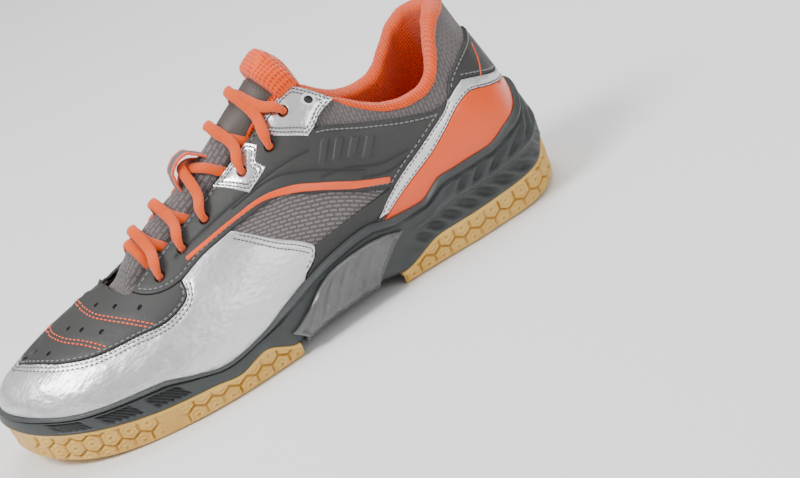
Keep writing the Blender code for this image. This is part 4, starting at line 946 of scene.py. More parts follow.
def ribbed_ribbon():
    """Keeper loop ribbon: orange edges and a ribbed grey middle."""
    f = Finish("ribbed_ribbon", (0.3, 0.28, 0.28), 0.8, Sheen_Weight=0.3)
    split = f.node("ShaderNodeSeparateXYZ")
    f.link(f.where((100, 1, 1), uv=True), split.inputs[0])
    across = f.maths("ABSOLUTE", f.maths("SUBTRACT", split.outputs[1], 0.5))
    ribs = f.maths("SINE", f.maths("MULTIPLY", split.outputs[0], 2 * math.pi / 0.9))
    band = f.node("ShaderNodeMath", operation="GREATER_THAN")
    band.inputs[1].default_value = 0.27
    f.link(across, band.inputs[0])
    f.tint(band.outputs[0], (0.10, 0.09, 0.09), (1.0, 0.09, 0.015))
    f.bump(ribs, 0.0003, 0.7)
    f.bump(f.noise(1800, 2.0), 0.0002, 0.3)
    return f.material


# Each look is a material and the name of its slot.
SILVER_LEATHER = silver_leather(), "silver_synthetic"
SILVER_FILM = speckled("silver_film", (0.8, 0.8, 0.81), 0.2, [(90, 3, 0.0025, 0.3), (700, 2, 0.0003, 0.2)],
                       (120, 3, 0.16, 0.32), metallic=0.85, Coat_Weight=0.3,
                       Coat_Roughness=0.15), "silver_film"
DARK = dark_synthetic(), "dark_synthetic"
LABEL = dark_synthetic("label", (0.075, 0.058, 0.052)), "dark_synthetic"
ORANGE_FILM = orange_film(), "orange_synthetic"
AGLET = orange_film("aglet_film", (1.0, 0.09, 0.015), 0.2), "aglet_film"
VENT_MESH = knit_mesh("vent_mesh", 0.5, 0.75), "mesh_grey"
COLLAR_KNIT = knit_mesh("collar_knit", math.pi / 2 + 0.25, 0.35), "mesh_grey"
TONGUE_KNIT = knit_mesh("tongue_knit", 0.05, 0.45), "mesh_grey"
LINING = air_mesh("lining_mesh", (0.95, 0.105, 0.0), (0.62, 0.03, 0.0), 1.6), "orange_mesh"
RIBBON = ribbed_ribbon(), "orange_mesh"
SOCK = plain_board("sock_cloth", (0.95, 0.09, 0.02)), "orange_mesh"
LACE = lace_knit(), "lace_cord"
# Gum rubber; its darkest colour (0.42, 0.20, 0.03) is painted shade in the grooves and dimples of its cells.
GUM = speckled("gum_rubber", (0.70, 0.43, 0.105), 0.42, [(320, 4, 0.0005, 0.3)], (110, 3, 0.36, 0.52),
               (40, 3, 0.25, 0.8, (0.60, 0.34, 0.06), (0.74, 0.47, 0.12)), (0.42, 0.20, 0.03),
               Subsurface_Weight=0.25, Subsurface_Scale=0.004, Subsurface_Radius=(1.0, 0.55, 0.2),
               Specular_IOR_Level=0.45), "gum_rubber"
# Midsole foam; its darkest colour (0.012, 0.013, 0.014) is painted shade where the wall's relief sinks in.
FOAM = speckled("midsole_foam", (0.06, 0.066, 0.066), 0.5, [(520, 4, 0.0004, 0.35), (70, 2, 0.001, 0.12)],
                (130, 4, 0.42, 0.58), (45, 4, 0.3, 0.75, (0.036, 0.040, 0.041), (0.052, 0.058, 0.057)),
                (0.012, 0.013, 0.014), Specular_IOR_Level=0.4), "midsole_foam"
SHANK = speckled("shank_plastic", (0.15, 0.155, 0.15), 0.24, [(240, 3, 0.0004, 0.25)],
                 (150, 3, 0.18, 0.34), (60, 3, 0.3, 0.75, (0.12, 0.125, 0.12), (0.18, 0.185, 0.18)),
                 Transmission_Weight=0.3, IOR=1.45, Coat_Weight=0.4, Coat_Roughness=0.12), "shank_plastic"
WHITE = plain_board("white_plastic", (0.85, 0.85, 0.85)), "eyelet_plastic"
DARK_THREAD = thread("dark_thread", (0.075, 0.075, 0.078))
GREY_THREAD = thread("grey_thread", (0.20, 0.20, 0.20))
ORANGE_THREAD = thread("orange_thread", (1.0, 0.13, 0.03))
BOARD = plain_board("board", (0.6, 0.55, 0.45))
STIFFENER = plain_board("stiffener", (0.75, 0.74, 0.68))

# ----------------------------------------------------------------------------------- the upper

OVERLAY = (0.15, 1.25)
FILM = (1.15, 0.75)
STRIPE = (1.2, 0.5)
MESH = (-1.0, 1.0)
STITCH_SINK = 0.05

dark_stitches, grey_stitches, orange_stitches = Stitches(), Stitches(), Stitches()
tongue_stitches = Stitches()


def seam(border, rows, gap):
    """Flat line of a seam: a border moved into the panel by gap, where the panel has room."""
    line = resampled(flat_line(border), 1.0)
    loop = flat_line(rows)
    moved = max((beside(line, sign * gap) for sign in (1, -1)),
                key=lambda m: inside(m, loop).sum())
    keep = inside(moved, loop) & (distance(moved, loop) > gap * 0.8)
    runs = np.split(np.arange(len(moved)), np.flatnonzero(~keep))
    best = max(runs, key=len)
    return moved[best[1:] if not keep[best[0]] else best]


def sewn(stitches, seams, height, **sizes):
    for line in seams:
        if len(line) > 4:
            stitches.row(line, height - STITCH_SINK, **sizes)


def tucked_rim(tag, start, end):
    """Lower border of a side panel, tucked behind the midsole's edge on its own side."""
    rows = rim(start, end)
    if tag == "medial":
        there = medial(rows)[::-1, 0]
        rows[:, 1] = height_at(there, by_table(WALL_TOP, round_foot(there)) + RIM_TUCK)
    return rows


def both(maker):
    """Runs a maker for the lateral and the medial side, with a function that mirrors rows."""
    maker("lateral", lambda rows: np.array(rows, float))
    maker("medial", medial)


def make_quarter(tag, turned):
    rear = np.concatenate([WRAP_BACK, tucked_rim(tag, 5.93, 7.38)])
    rows = turned(outline(QUARTER_FRONT, WRAP_TOP, VENT_TOP, VENT_LOW, rear, TRIM_FRONT, QUARTER_TOP,
                          EYESTAY_BACK, EYESTAY_TOP, THROAT))
    holes = [turned(hole(s, h, EYELET_HOLE)) for s, h in (*EYELETS, SPARE_EYELET)]
    sewn_edges = [turned(r) for r in (np.concatenate([VENT_TOP[::-1], WRAP_TOP[::-1]]),
                                      QUARTER_FRONT, TRIM_FRONT, QUARTER_TOP, THROAT)]
    seams = [seam(r, rows, 2.2) for r in sewn_edges]
    creases = [flat_line(turned(side(*line))) for line in (
        ((6.95, 0.435), (7.4, 0.405), (7.9, 0.365), (8.35, 0.365)),
        ((7.5, 0.345), (7.9, 0.322), (8.25, 0.335)),
        ((4.5, 0.725), (5.4, 0.685), (6.2, 0.63), (7.0, 0.555)),
        ((5.6, 0.655), (6.3, 0.60), (6.8, 0.50), (7.3, 0.405), (7.6, 0.37)))]
    bars = []
    for k in range(4):
        s, h = 7.0 + 0.22 * k, 0.482 - 0.022 * k
        corners = (s, h), (s + 0.11, h - 0.01), (s + 0.38, h + 0.062), (s + 0.27, h + 0.074)
        sides = [side(a, b) for a, b in zip(corners, corners[1:] + corners[:1])]
        bars.append(flat_line(turned(outline(*sides))))
    panel("quarter_" + tag, rows, *OVERLAY, DARK, holes, seams, spacing=2.0,
          depth=0.3, creases=creases, bars=bars)
    sewn(grey_stitches, seams, sum(OVERLAY))


def make_patches(tag, turned):
    upper = turned(outline(EYESTAY_BACK[::-1], side((7.3, 0.615), (7.13, 0.60)),
                           side((7.13, 0.60), (6.83, 0.69), (6.66, 0.76)),
                           side((6.66, 0.76), (6.62, 0.835)), side((6.62, 0.835), (7.43, 0.835)),
                           EYESTAY_TOP[::-1]))
    lower = turned(outline(side((6.4, 0.838), (6.5, 0.765)), side((6.5, 0.765), (6.32, 0.72)),
                           side((6.32, 0.72), (6.38, 0.655)), side((6.38, 0.655), (5.95, 0.64)),
                           side((5.95, 0.64), (5.6, 0.845)), side((5.6, 0.845), (6.4, 0.838))))
    for name, rows, eyelets in (("upper", upper, [EYELETS[0], SPARE_EYELET]), ("lower", lower, [EYELETS[2]])):
        loop = closed_line(flat_line(rows))
        seams = []
        for gap in (1.3, 2.7):
            inner = closed_line(drawn_in(loop[:-1], gap))
            seams.append(inner[distance(inner, loop[:-1]) > gap * 0.85])
        panel(f"{name}_eyestay_patch_{tag}", rows, *FILM, SILVER_FILM,
              [turned(hole(*place, EYELET_HOLE)) for place in eyelets], seams, spacing=1.8, depth=0.3)
        sewn(dark_stitches, seams, sum(FILM), pitch=2.2, length=1.5, width=0.6)


def make_heel_sides(tag, turned):
    trim = turned(outline(TRIM_FRONT, TRIM_CORNER, TRIM_UP, side((10.93, 0.40), (10.93, 0.36)),
                          TRIM_BACK[::-1]))
    seams = [seam(turned(TRIM_BACK), trim, 1.1), seam(turned(TRIM_FRONT), trim, 1.1)]
    panel("heel_trim_" + tag, trim, *OVERLAY, SILVER_LEATHER, (), seams,
          spacing=1.8)
    sewn(dark_stitches, seams, sum(OVERLAY), pitch=2.4, length=1.6, width=0.6)
    rows = turned(outline(TRIM_BACK, tucked_rim(tag, 10.7, 7.45)))
    panel("heel_panel_" + tag, rows, *OVERLAY, ORANGE_FILM, spacing=2.4)
    stripe = turned(outline(side((7.9, 0.30), (7.3, 0.355), (6.9, 0.42), (6.5, 0.505), (6.1, 0.575),
                                 (5.5, 0.625), (4.6, 0.675)),
                            side((4.6, 0.675), (4.58, 0.645)),
                            side((4.58, 0.645), (5.5, 0.60), (6.05, 0.552), (6.42, 0.48), (6.8, 0.40),
                                 (7.2, 0.33), (7.84, 0.275))))
    panel("quarter_stripe_" + tag, stripe, *STRIPE, ORANGE_FILM, spacing=1.8,
          edge=0.3)


def make_wrap():
    corner = (6.2, 0.205), (6.3, 0.245), (6.2, 0.285), (5.88, 0.38)
    rows = outline(WRAP_EDGE, side((-0.95, 0.80), (-1.02, 0.30)), rim(-1.02, 5.9),
                   side((5.95, 0.17), *corner, (5.38, 0.585)), WRAP_TOP[::-1])
    back = side((6.0, 0.175), *corner, (5.42, 0.575))
    seams = [seam(border, rows, gap) for border in (WRAP_EDGE, back) for gap in (1.6, 3.4)]
    panel("toe_wrap", rows, *OVERLAY, SILVER_LEATHER, (), seams, spacing=2.4,
          relief=lambda s, h: 0.25 * wrinkles(s, h))
    for line in seams:
        dark_stitches.row(line, lambda s, h: sum(OVERLAY) - STITCH_SINK + 0.25 * wrinkles(s, h),
                          pitch=2.3, length=1.5, width=0.6)


def wrinkles(s, h):
    """Soft waves of a leather pulled over the toe."""
    return (np.sin(s * 7.0 + h * 21) + np.sin(s * 4.3 - h * 27 + 1.3)) * 0.5 * np.clip(h * 3, 0, 1)


def slot_hole(s, h, length, width, turn):
    """A slit with round ends, as (s, h) rows; turn is its angle in the surface."""
    angle = full_turn(16)
    x = np.cos(angle) * width / 2 + np.sign(np.cos(angle)) * (length - width) / 2
    y = np.sin(angle) * width / 2
    return around(s, h, x * math.cos(turn) - y * math.sin(turn), x * math.sin(turn) + y * math.cos(turn))


# Perforations and seams of the vamp, as (ridge y, v) on the lateral half.
PERFORATIONS = [(-83.7, 0.135), (-77.8, 0.249), (-69.7, 0.371), (-98.1, 0.157), (-93.6, 0.249),
                (-87.5, 0.355), (-113.6, 0.122), (-108.3, 0.256)]
VAMP_SEAMS = [((-88.8, 0), (-86.7, 0.183), (-82.2, 0.289), (-76.1, 0.395), (-68.2, 0.521)),
              ((-105.8, 0), (-101.4, 0.208), (-94.8, 0.342), (-90.3, 0.435), (-87, 0.512))]


def make_vamp():
    rows = outline(WRAP_EDGE, side((-0.95, 0.80), (-1.0, 0.50)),
                   side((-1.0, 0.50), (-2.2, 0.47), (-3.9, 0.44)), medial(QUARTER_FRONT),
                   THROAT_BASE[::-1], QUARTER_FRONT)
    holes = []
    for sign in (1, -1):
        for y, v in PERFORATIONS:
            s, h = over((y, sign * v), (y + 1, sign * v))[0]
            holes.append(slot_hole(s, h, 2.4, 1.5, sign * 0.4))
    loop = flat_line(rows)
    seams = []
    for arch in VAMP_SEAMS:
        mirrored = [(y, -v) for y, v in arch[1:]]
        line = resampled(flat_line(over(*arch[::-1], *mirrored)), 1.0)
        for row in (line, beside(line, 1.7)):
            seams.append(row[inside(row, loop) & (distance(row, loop) > 1.6)])
    edge = [seam(WRAP_EDGE, rows, 1.2)]
    panel("vamp_panel", rows, *OVERLAY, DARK, holes, seams + edge, spacing=2.0)
    sewn(orange_stitches, seams, sum(OVERLAY), pitch=2.4, length=1.7, width=0.75)
    sewn(grey_stitches, edge, sum(OVERLAY))


def make_guard():
    rows = outline(side((-1.04, 0.49), (-2.2, 0.46), (-3.9, 0.43)), side((-3.9, 0.43), (-4.1, 0.25)),
                   rim(-4.1, -1.04))
    seams = [seam(rows[:40], rows, 1.6)]
    panel("medial_toe_guard", rows, *OVERLAY, ORANGE_FILM, (), seams, spacing=2.4)
    sewn(orange_stitches, seams, sum(OVERLAY))


def make_meshes():
    """The knit upper and the collar's knit, which show between the overlays."""
    lap = LAP + MEDIAL_SHIFT
    foot_line = np.column_stack([np.linspace(-HEEL, HEEL, 320, endpoint=False), np.zeros(320)])
    throat = side((7.2, 0.585), (6.2, 0.615), (5, 0.615), (4.2, 0.62), (3.6, 0.70), (3.45, 0.76))
    back = side((11, 0.61), (10.4, 0.60), (9.8, 0.565), (9.5, 0.50), (9.1, 0.445), (8.72, 0.46),
                (8.2, 0.505), (7.75, 0.545), (7.2, 0.585))
    base = over((-72, 0.23), (-75, 0.12), (-76.5, 0), (-75, -0.12), (-72, -0.22))
    opening = outline(back, throat, base, medial(throat), medial(back))
    panel("upper_mesh", foot_line, *MESH, VENT_MESH, [opening], spacing=3.0)
    s = np.linspace(COLLAR_START, lap - COLLAR_START, 220)
    edge = np.column_stack([s, collar_h(s) - RIM_DROP + 0.012])
    low = np.concatenate([medial(back) + [LAP, 0], back])
    panel("collar_mesh", outline(edge, low[1:-1]), *MESH, COLLAR_KNIT, spacing=2.6,
          lap=True)


def mirrored_back(points, sign):
    """Places on one side of the heel's middle, kept for sign 1 and mirrored for -1."""
    return [(HEEL - sign * (HEEL - s), h) for s, h in points]


def make_tab():
    across = [medial(rows) + [LAP, 0] for rows in (TAB_TOP, TRIM_CORNER, TRIM_UP)]
    rows = outline(TAB_TOP, across[0], across[1][::-1], across[2][::-1],
                   side((11.07, 0.40), (10.93, 0.40)), TRIM_UP[::-1], TRIM_CORNER[::-1])
    edges = [seam(r, rows, 1.8) for r in (TAB_TOP, across[0], TRIM_UP, across[2])]
    seams = [flat_line(side(*mirrored_back([(10.55, 0.625), (10.45, 0.52), (10.5, 0.44)], sign)))
             for sign in (1, -1)]
    panel("heel_tab", rows, *OVERLAY, DARK, (), edges + seams, spacing=1.8, lap=True,
          depth=0.3)
    sewn(grey_stitches, edges, sum(OVERLAY))
    for tag, sign in (("lateral", 1), ("medial", -1)):
        line = mirrored_back([(10.42, 0.598), (10.3, 0.56), (10.12, 0.51), (9.98, 0.478)], sign)
        wide = [(s - 0.055 * sign, h) for s, h in line][::-1]
        strip = np.concatenate([side(*line), side(*wide)])
        panel("heel_tab_line_" + tag, strip, sum(OVERLAY) - 0.1, 0.4, ORANGE_FILM,
              spacing=1.2, edge=0.2, lap=True)


def make_collar():
    """Padded lining: up the inside of the upper, and rolled over the rim round the ankle."""
    lap = LAP + MEDIAL_SHIFT
    s = np.linspace(6.35, lap - 6.35, 420)
    back = lateral_station(s)
    full = np.clip((back - 7.2) / 0.14, 0, 1)
    top = (1 - full) * 0.40 + full * (collar_h(s) + 0.012)
    roll = np.clip((back - 7.55) / 0.5, 0, 1)
    inner_wall = np.linspace(0.06, 1, 26)
    rings = []
    for k, station in enumerate(s):
        rim_h = top[k] - 0.034
        path = [(0.06, FOAM_FACE)] + [(rim_h * f, FOAM_FACE) for f in (0.35, 0.7, 0.97)]
        pad_top = float(pad_thickness(station, rim_h))
        inside_at = FOAM_FACE - 1.2 - pad_top
        outer_at = FOAM_FACE + roll[k] * (-FOAM_FACE + ROLL_OVER + 0.35)
        middle, half = (outer_at + inside_at) / 2, (outer_at - inside_at) / 2
        for a in np.linspace(-0.12 * math.pi, 1.05 * math.pi, 17):
            rise = math.sin(a)
            path.append((rim_h + 0.034 * np.sign(rise) * abs(rise) ** 0.8, middle + half * math.cos(a)))
        for f in inner_wall[::-1][1:]:
            h = rim_h * f
            soft = 0.5 * math.sin(station * 5.1) * math.sin(f * 5) * min(1, pad_top / 4)
            path.append((max(h, 0.06), FOAM_FACE - 1.2 - float(pad_thickness(station, h)) - soft))
        h, offset = np.array(path).T
        rings.append(raised(np.full(len(h), station), h, offset))
    count = len(rings[0])
    u = np.repeat(s * UV_PER_STATION, count)
    v = np.tile(np.concatenate([np.linspace(0, 0.6, 4), np.linspace(0.62, 0.86, 17),
                                np.linspace(0.88, 1.6, 25)]), len(s))
    item = lofted("collar_lining", rings, LINING, replaces=["collar_lining", "collar_foam"],
                  uv=np.stack([u, v], 1))


# ---------------------------------------------------------------------------------- the tongue

def ridge_grid(y, v):
    """Surface points and smooth normals over the ridge, for rows of y and signed v."""
    s = np.where(v[None] >= 0, top_station(y, 1)[:, None], top_station(y, -1)[:, None])
    h = np.broadcast_to(1 - np.abs(v)[None], s.shape)
    surface = last(s, h)
    middle = int(np.argmin(np.abs(v)))
    surface[:, middle] = (surface[:, middle - 1] + surface[:, middle + 1]) / 2
    normal = unit(np.cross(np.gradient(surface, axis=0), np.gradient(surface, axis=1)))
    normal *= np.sign(normal[len(y) // 2, middle, 2])
    return s, h, surface, normal


def pillow(name, y, v, high, low, look, **others):
    """Closed cushion over the ridge between two offsets, each a grid of y by v."""
    _, _, surface, normal = ridge_grid(y, v)
    u = np.abs(v) / np.abs(v).max()
    ends = np.minimum(np.arange(len(y)), np.arange(len(y))[::-1]) / 4.0
    shape = np.sqrt(np.clip(1 - u ** 10, 0, 1))[None] * np.sqrt(np.clip(ends, 0, 1))[:, None]
    middle, half = (high + low) / 2, (high - low) / 2 * shape
    top = surface + normal * (middle + half)[..., None]
    bottom = surface + normal * (middle - half)[..., None]
    across = surface[..., 0] * 0.01
    along = np.broadcast_to(y[:, None] * 0.01, across.shape)
    uv = np.stack([along, across], -1).reshape(-1, 2)
    return finish_piece(name, *sheet(top, bottom), look, "tongue", uv=np.concatenate([uv, uv]), **others)


def tongue_width(y):
    """Half width of the tongue's raised middle, which flares above the eyestays."""
    return 0.15 + 0.055 * smoothstep((y - 2) / 22)


def tongue_puff(y, h):
    """How far the padding lifts the tongue's middle between the eyestays."""
    dome = np.clip(1 - ((1 - h) / tongue_width(y)) ** 2, 0, 1)
    return dome * (9.0 * smoothstep((y + 76) / 24) - 1.5 * smoothstep((y - 12) / 20))


def tongue_face(s, h):
    """Outer face of the padded tongue."""
    y = ridge_y(s)
    under_collar = np.clip((lateral_station(s) - 6.8) / 0.8, 0, 1)
    low = smoothstep((1 - h - tongue_width(y) + 0.045) / 0.06) * smoothstep((y + 74) / 16)
    return -2.6 - (3.0 + 4.8 * under_collar) * low + tongue_puff(y, h)


def make_tongue():
    v = np.sign(np.linspace(-1, 1, 91)) * np.abs(np.linspace(-1, 1, 91)) ** 0.85 * 0.285
    y = np.linspace(-77, 30.5, 150)
    s, h, _, _ = ridge_grid(y, v)
    face = tongue_face(s, h)
    waves = 0.3 * (np.sin(y * 0.55) * np.clip(-y / 20, 0, 1))[:, None] * np.clip(1 - (1 - h) / 0.12, 0, 1)
    pillow("tongue_shell", y, v, face + waves, face - 1.2, TONGUE_KNIT)
    y = np.linspace(-76, 43, 180)
    s, h, _, _ = ridge_grid(y, v)
    face = tongue_face(s, h)
    rise = np.clip((y - 29.8) / 3, 0, 1) * np.clip((43.5 - y) / 7, 0, 1)
    rise = np.sqrt(rise * (2 - rise))[:, None]
    wide = 1 - smoothstep((1 - h - 0.17) / 0.07)
    soft = 0.5 * np.sin(s * 9 + h * 40)
    high = face - 1.1 + rise * (1.1 + (TONGUE_ROLL + soft) * wide)
    low = face - TONGUE_PAD - 2.7 - tongue_puff(y[:, None], h) * 0.85 - 0.4 * np.sin(y * 0.16)[:, None]
    item = pillow("tongue_lining", y, v, high, low, LINING,
                  replaces=["tongue_lining", "tongue_padding"])
    for name, half_width, y, above, look in (("tongue_edge", 0.19, np.linspace(3, 30.4, 40), 0.35, LINING),
                                             ("tongue_label", 0.135, np.linspace(6, 30, 38), 1.0, LABEL)):
        v = np.linspace(-half_width, half_width, 61)
        s, h, _, _ = ridge_grid(y, v)
        face = tongue_face(s, h)
        pillow(name, y, v, face + above, face - 0.4, look)
    base_rows = [over((y + 3, 0.12), (y, 0), (y + 3, -0.12)) for y in (-68.5, -66.5)]
    label_rows = [over((28.2, 0.112), (28.2, -0.112))]
    label_rows += [over((8.5, sign * 0.112), (28.2, sign * 0.112)) for sign in (1, -1)]
    for lines, above in ((base_rows, 0.1), (label_rows, 0.95)):
        for rows in lines:
            tongue_stitches.row(flat_line(rows), lambda s, h, above=above: tongue_face(s, h) + above,
                                pitch=2.4, length=1.6, width=0.6)


def make_keeper_loop():
    route = smooth(KEEPER, 0.6)
    s = top_station(route[:, 0], 1)
    ridge, normal = last(s, 1.0), last_normal(s, 0.995)
    normal[:, 0] = 0
    normal = unit(normal)
    middle = ridge + normal * route[:, 1:]
    ups = unit(np.cross([1.0, 0, 0], np.gradient(middle, axis=0)))
    wide, thick = KEEPER_WIDTH / 2, 0.55
    section = np.array([(-wide, 0), (-wide + 0.4, -thick), (0, -thick), (wide - 0.4, -thick), (wide, 0),
                        (wide - 0.4, thick), (0, thick), (-wide + 0.4, thick)])
    item = swept("keeper_loop", middle, ups, section, RIBBON, body="tongue")
    layer = item.data.uv_layers[0].data
    for loop in item.data.loops:
        index = loop.vertex_index
        if index < len(middle) * len(section):
            x = section[index % len(section), 0]
            layer[loop.index].uv[1] = x / KEEPER_WIDTH + 0.5


# -------------------------------------------------------------------------- lace and small parts

def on_side(row, side_sign):
    """An eyelet-side place (s, h, offset), on the lateral (1) or medial (-1) side."""
    s, h, offset = row
    return (s, h, offset) if side_sign > 0 else (-(s - MEDIAL_SHIFT), h, offset)


def through(row, side_sign):
    """Places of the lace as it comes over the eyestay's edge, goes down an eyelet, and leaves
    under the edge towards the toe."""
    s, h = EYELETS[row]
    return [on_side(place, side_sign) for place in (
        (s + 0.16, 0.84, OVER_EDGE), (s + 0.04, h + 0.03, OVER_EDGE), (s, h, 3.0), (s, h, -0.6),
        (s - 0.04, h + 0.03, UNDER), (s - 0.14, 0.83, UNDER), (s - 0.22, 0.875, -1.8),
        (s - 0.32, 0.92, 0.0))]


def first_eyelet(side_sign):
    """Places of the lace from its end up through the eyelet nearest the ankle."""
    s, h = EYELETS[0]
    return [on_side(place, side_sign) for place in (
        (4.9, 0.575, UNDER), (5.5, 0.59, UNDER), (6.1, 0.60, UNDER), (6.6, 0.625, UNDER),
        (6.95, 0.69, UNDER - 0.3), (s - 0.03, h - 0.03, UNDER), (s, h, -0.6), (s, h, 3.0),
        (s - 0.04, h + 0.03, OVER_EDGE), (s - 0.14, 0.84, OVER_EDGE))]


def last_eyelet(side_sign):
    """Places of the lace into the eyelet nearest the toe, and under the eyestay's edge."""
    s, h = EYELETS[-1]
    return [on_side(place, side_sign) for place in (
        (s + 0.16, 0.84, OVER_EDGE), (s + 0.04, h + 0.03, OVER_EDGE), (s, h, 3.0), (s, h, -0.6),
        (s - 0.02, h + 0.03, UNDER), (s, 0.83, UNDER), (s, 0.90, -1.8))]


def crossing(row, offset):
    """Where the lace crosses the tongue between one row of eyelets and the next."""
    return (EYELETS[row][0] + EYELETS[row + 1][0]) / 2 - (0.06 if row else 0), 1.0, offset


def lace_places():
    """The lace as (s, h, offset): down the rows from the lateral end, and back up."""
    rows = len(EYELETS)
    going = first_eyelet(1) + [crossing(0, FIRST_STRANDS[0])]
    for row in range(1, rows - 1):
        going += through(row, 1 if row % 2 == 0 else -1) + [crossing(row, LOW_STRAND)]
    back = first_eyelet(-1) + [crossing(0, FIRST_STRANDS[1])]
    for row in range(1, rows - 1):
        back += through(row, -1 if row % 2 == 0 else 1) + [crossing(row, HIGH_STRAND)]
    toe_side = 1 if (rows - 1) % 2 == 0 else -1
    going += last_eyelet(toe_side) + [(EYELETS[-1][0], 1.0, -0.6)]
    back += last_eyelet(-toe_side)
    return np.array(going + back[::-1])


def make_lace():
    s, h, offset = lace_places().T
    offset = offset + tongue_puff(ridge_y(s), h) * np.where(h > 0.86, 0.92, 0)
    normal = last_normal(s, h)
    normal[h > 0.99, 0] = 0
    normal = unit(normal)
    places = last(s, h) + normal * offset[:, None]
    knots = travelled(places)
    at = np.linspace(0, knots[-1], int(knots[-1] / 1.1))
    route, ups = spline(knots, places, at), unit(spline(knots, normal, at))
    holes = places[np.isin(offset, (3.0, -0.6)) & (h < 0.86)]
    near = np.min([np.linalg.norm(route - p, axis=1) for p in holes], axis=0)
    squeeze = np.clip(1 - near / 5.5, 0, 1)[:, None] * [0.42, -0.35]
    swept("lace", route, ups, ellipse(LACE_WIDTH, LACE_HEIGHT), LACE, scale=1 - squeeze)
    turn = np.linspace(0, 1, 12)
    for name, end, inner, up in (("aglet_lateral", route[0], route[3], ups[0]),
                                 ("aglet_medial", route[-1], route[-4], ups[-1])):
        out = (end - inner) / np.linalg.norm(end - inner)
        line = end + out * (AGLET_LENGTH * turn + 0.2)[:, None]
        taper = np.where(turn > 0.85, 0.85, 1.0)[:, None] * [1, 1]
        swept(name, line, np.tile(up, (12, 1)), ellipse(2.9, 2.6, 12), AGLET, scale=taper)


def make_eyelets():
    """White rings round the spare holes, and a dark backing behind every hole."""
    def ring(tag, turned):
        outer, inner = turned(hole(*SPARE_EYELET, 3.3, 28)), turned(hole(*SPARE_EYELET, 2.0, 28))
        panel("spare_eyelet_" + tag, outer, 1.6, 1.1, WHITE, [inner], spacing=0.8,
              edge=0.45)
        for k, place in enumerate((*EYELETS, SPARE_EYELET)):
            panel(f"eyelet_backing_{tag}_{k}", turned(hole(*place, 3.4)), -0.9, 0.9, DARK,
                  [turned(hole(*place, 1.9))], spacing=1.5, edge=0.3)
    both(ring)


# ------------------------------------------------------------------------------------- the sole

ARC = travelled(handles(DENSE_S)[0][:, :2])


def arc(s):
    """Distance round the foot outline, in millimetres."""
    laps = np.floor((np.asarray(s, float) + HEEL) / LAP)
    return np.interp(round_foot(s), DENSE_S, ARC) + laps * ARC[-1]


def ridge(x, width):
    """A smooth bump, 1 at 0 and 0 beyond width."""
    return np.clip(1 - (x / width) ** 2, 0, 1) ** 2


def plateau(x, low, high, soft):
    """1 between low and high, with soft edges."""
    return np.clip((x - low) / soft, 0, 1) * np.clip((high - x) / soft, 0, 1)


def smoothstep(x):
    x = np.clip(x, 0, 1)
    return x * x * (3 - 2 * x)


def sole_ring_heights(s):
    y = handles(s)[0][:, 1]
    return ground(y), underside(y), by_table(GUM_TOP, s), by_table(WALL_TOP, s), by_table(FLANGE, s)


def midsole_relief(s, z, low, high):
    """How far the midsole's wall stands out (plus) or in at station s and height z."""
    u, t = arc(s), (z - low) / np.maximum(high - low, 1)
    back = lateral_station(s)
    out = 0.8 * ridge(t - 0.93, 0.07) - 0.9 * ridge(t - 0.82, 0.05)
    for station in (1.65, 2.45, 3.2):
        for sign in (1, -1):
            across = (u - arc(np.array([sign * station]))[0]) * sign + (t - 0.5) * 9
            window = smoothstep(plateau(across, -8.5, 8.5, 1.2)) * smoothstep(plateau(t, 0.14, 0.74, 0.08))
            hatch = 0.5 + 0.5 * np.cos((across + z * 0.9) * 2 * math.pi / 2.8)
            out = out - window * (1.5 - 0.8 * hatch)
    along = back * STATION_LENGTH
    rib = 0.5 + 0.5 * np.cos((along + z * 1.0) * 2 * math.pi / 9)
    heel = smoothstep(plateau(back, 7.5, 10.9, 0.5)) * smoothstep(plateau(t, 0.02, 0.62 - 0.02 * back, 0.14))
    out = out + heel * (2.0 * rib ** 1.5 - 1.2)
    blade = 0.5 + 0.5 * np.cos((along - z * 0.9) * 2 * math.pi / 8)
    upper = smoothstep(plateau(back, 8.3, 10.9, 0.5)) * smoothstep(plateau(t, 0.46, 0.82, 0.12))
    out = out + upper * (1.5 * blade ** 1.5 - 0.9)
    crest = 1.6 * ridge(t - 0.50 + 0.03 * (back - 9), 0.09) * smoothstep(plateau(back, 7.6, 10.9, 0.5))
    out = out + crest
    arch = plateau(back, 5.2, 7.9, 0.3) * ridge(t - 0.90, 0.16)
    return out + 1.4 * arch


def cap(loop, spacing):
    """Triangles inside a level loop: flat points, of which the first are the loop's own."""
    low, high = loop.min(0), loop.max(0)
    x, y = np.meshgrid(*(np.arange(a, b, spacing) for a, b in zip(low, high)), indexing="ij")
    x = x + (np.arange(x.shape[1]) % 2)[None] * spacing / 2
    free = np.stack([x, y], -1).reshape(-1, 2)
    free = free[inside(free, loop)]
    free = free[distance(free, loop) > spacing * 0.6]
    points = [tuple(p) for p in loop] + [tuple(p) for p in free]
    pairs = [(k, (k + 1) % len(loop)) for k in range(len(loop))]
    found = delaunay_2d_cdt(points, pairs, [], 0, 1e-5)
    origin = [ids[0] if ids else -1 for ids in found[3]]
    flat_points = np.array([tuple(p) for p in found[0]])
    order = np.argsort([o if o >= 0 else len(points) + k for k, o in enumerate(origin)], kind="stable")
    back = np.empty(len(order), int)
    back[order] = np.arange(len(order))
    triangles = back[np.array(found[2])]
    flat_points = flat_points[order]
    return flat_points, triangles[inside(flat_points[triangles].mean(1), loop)]


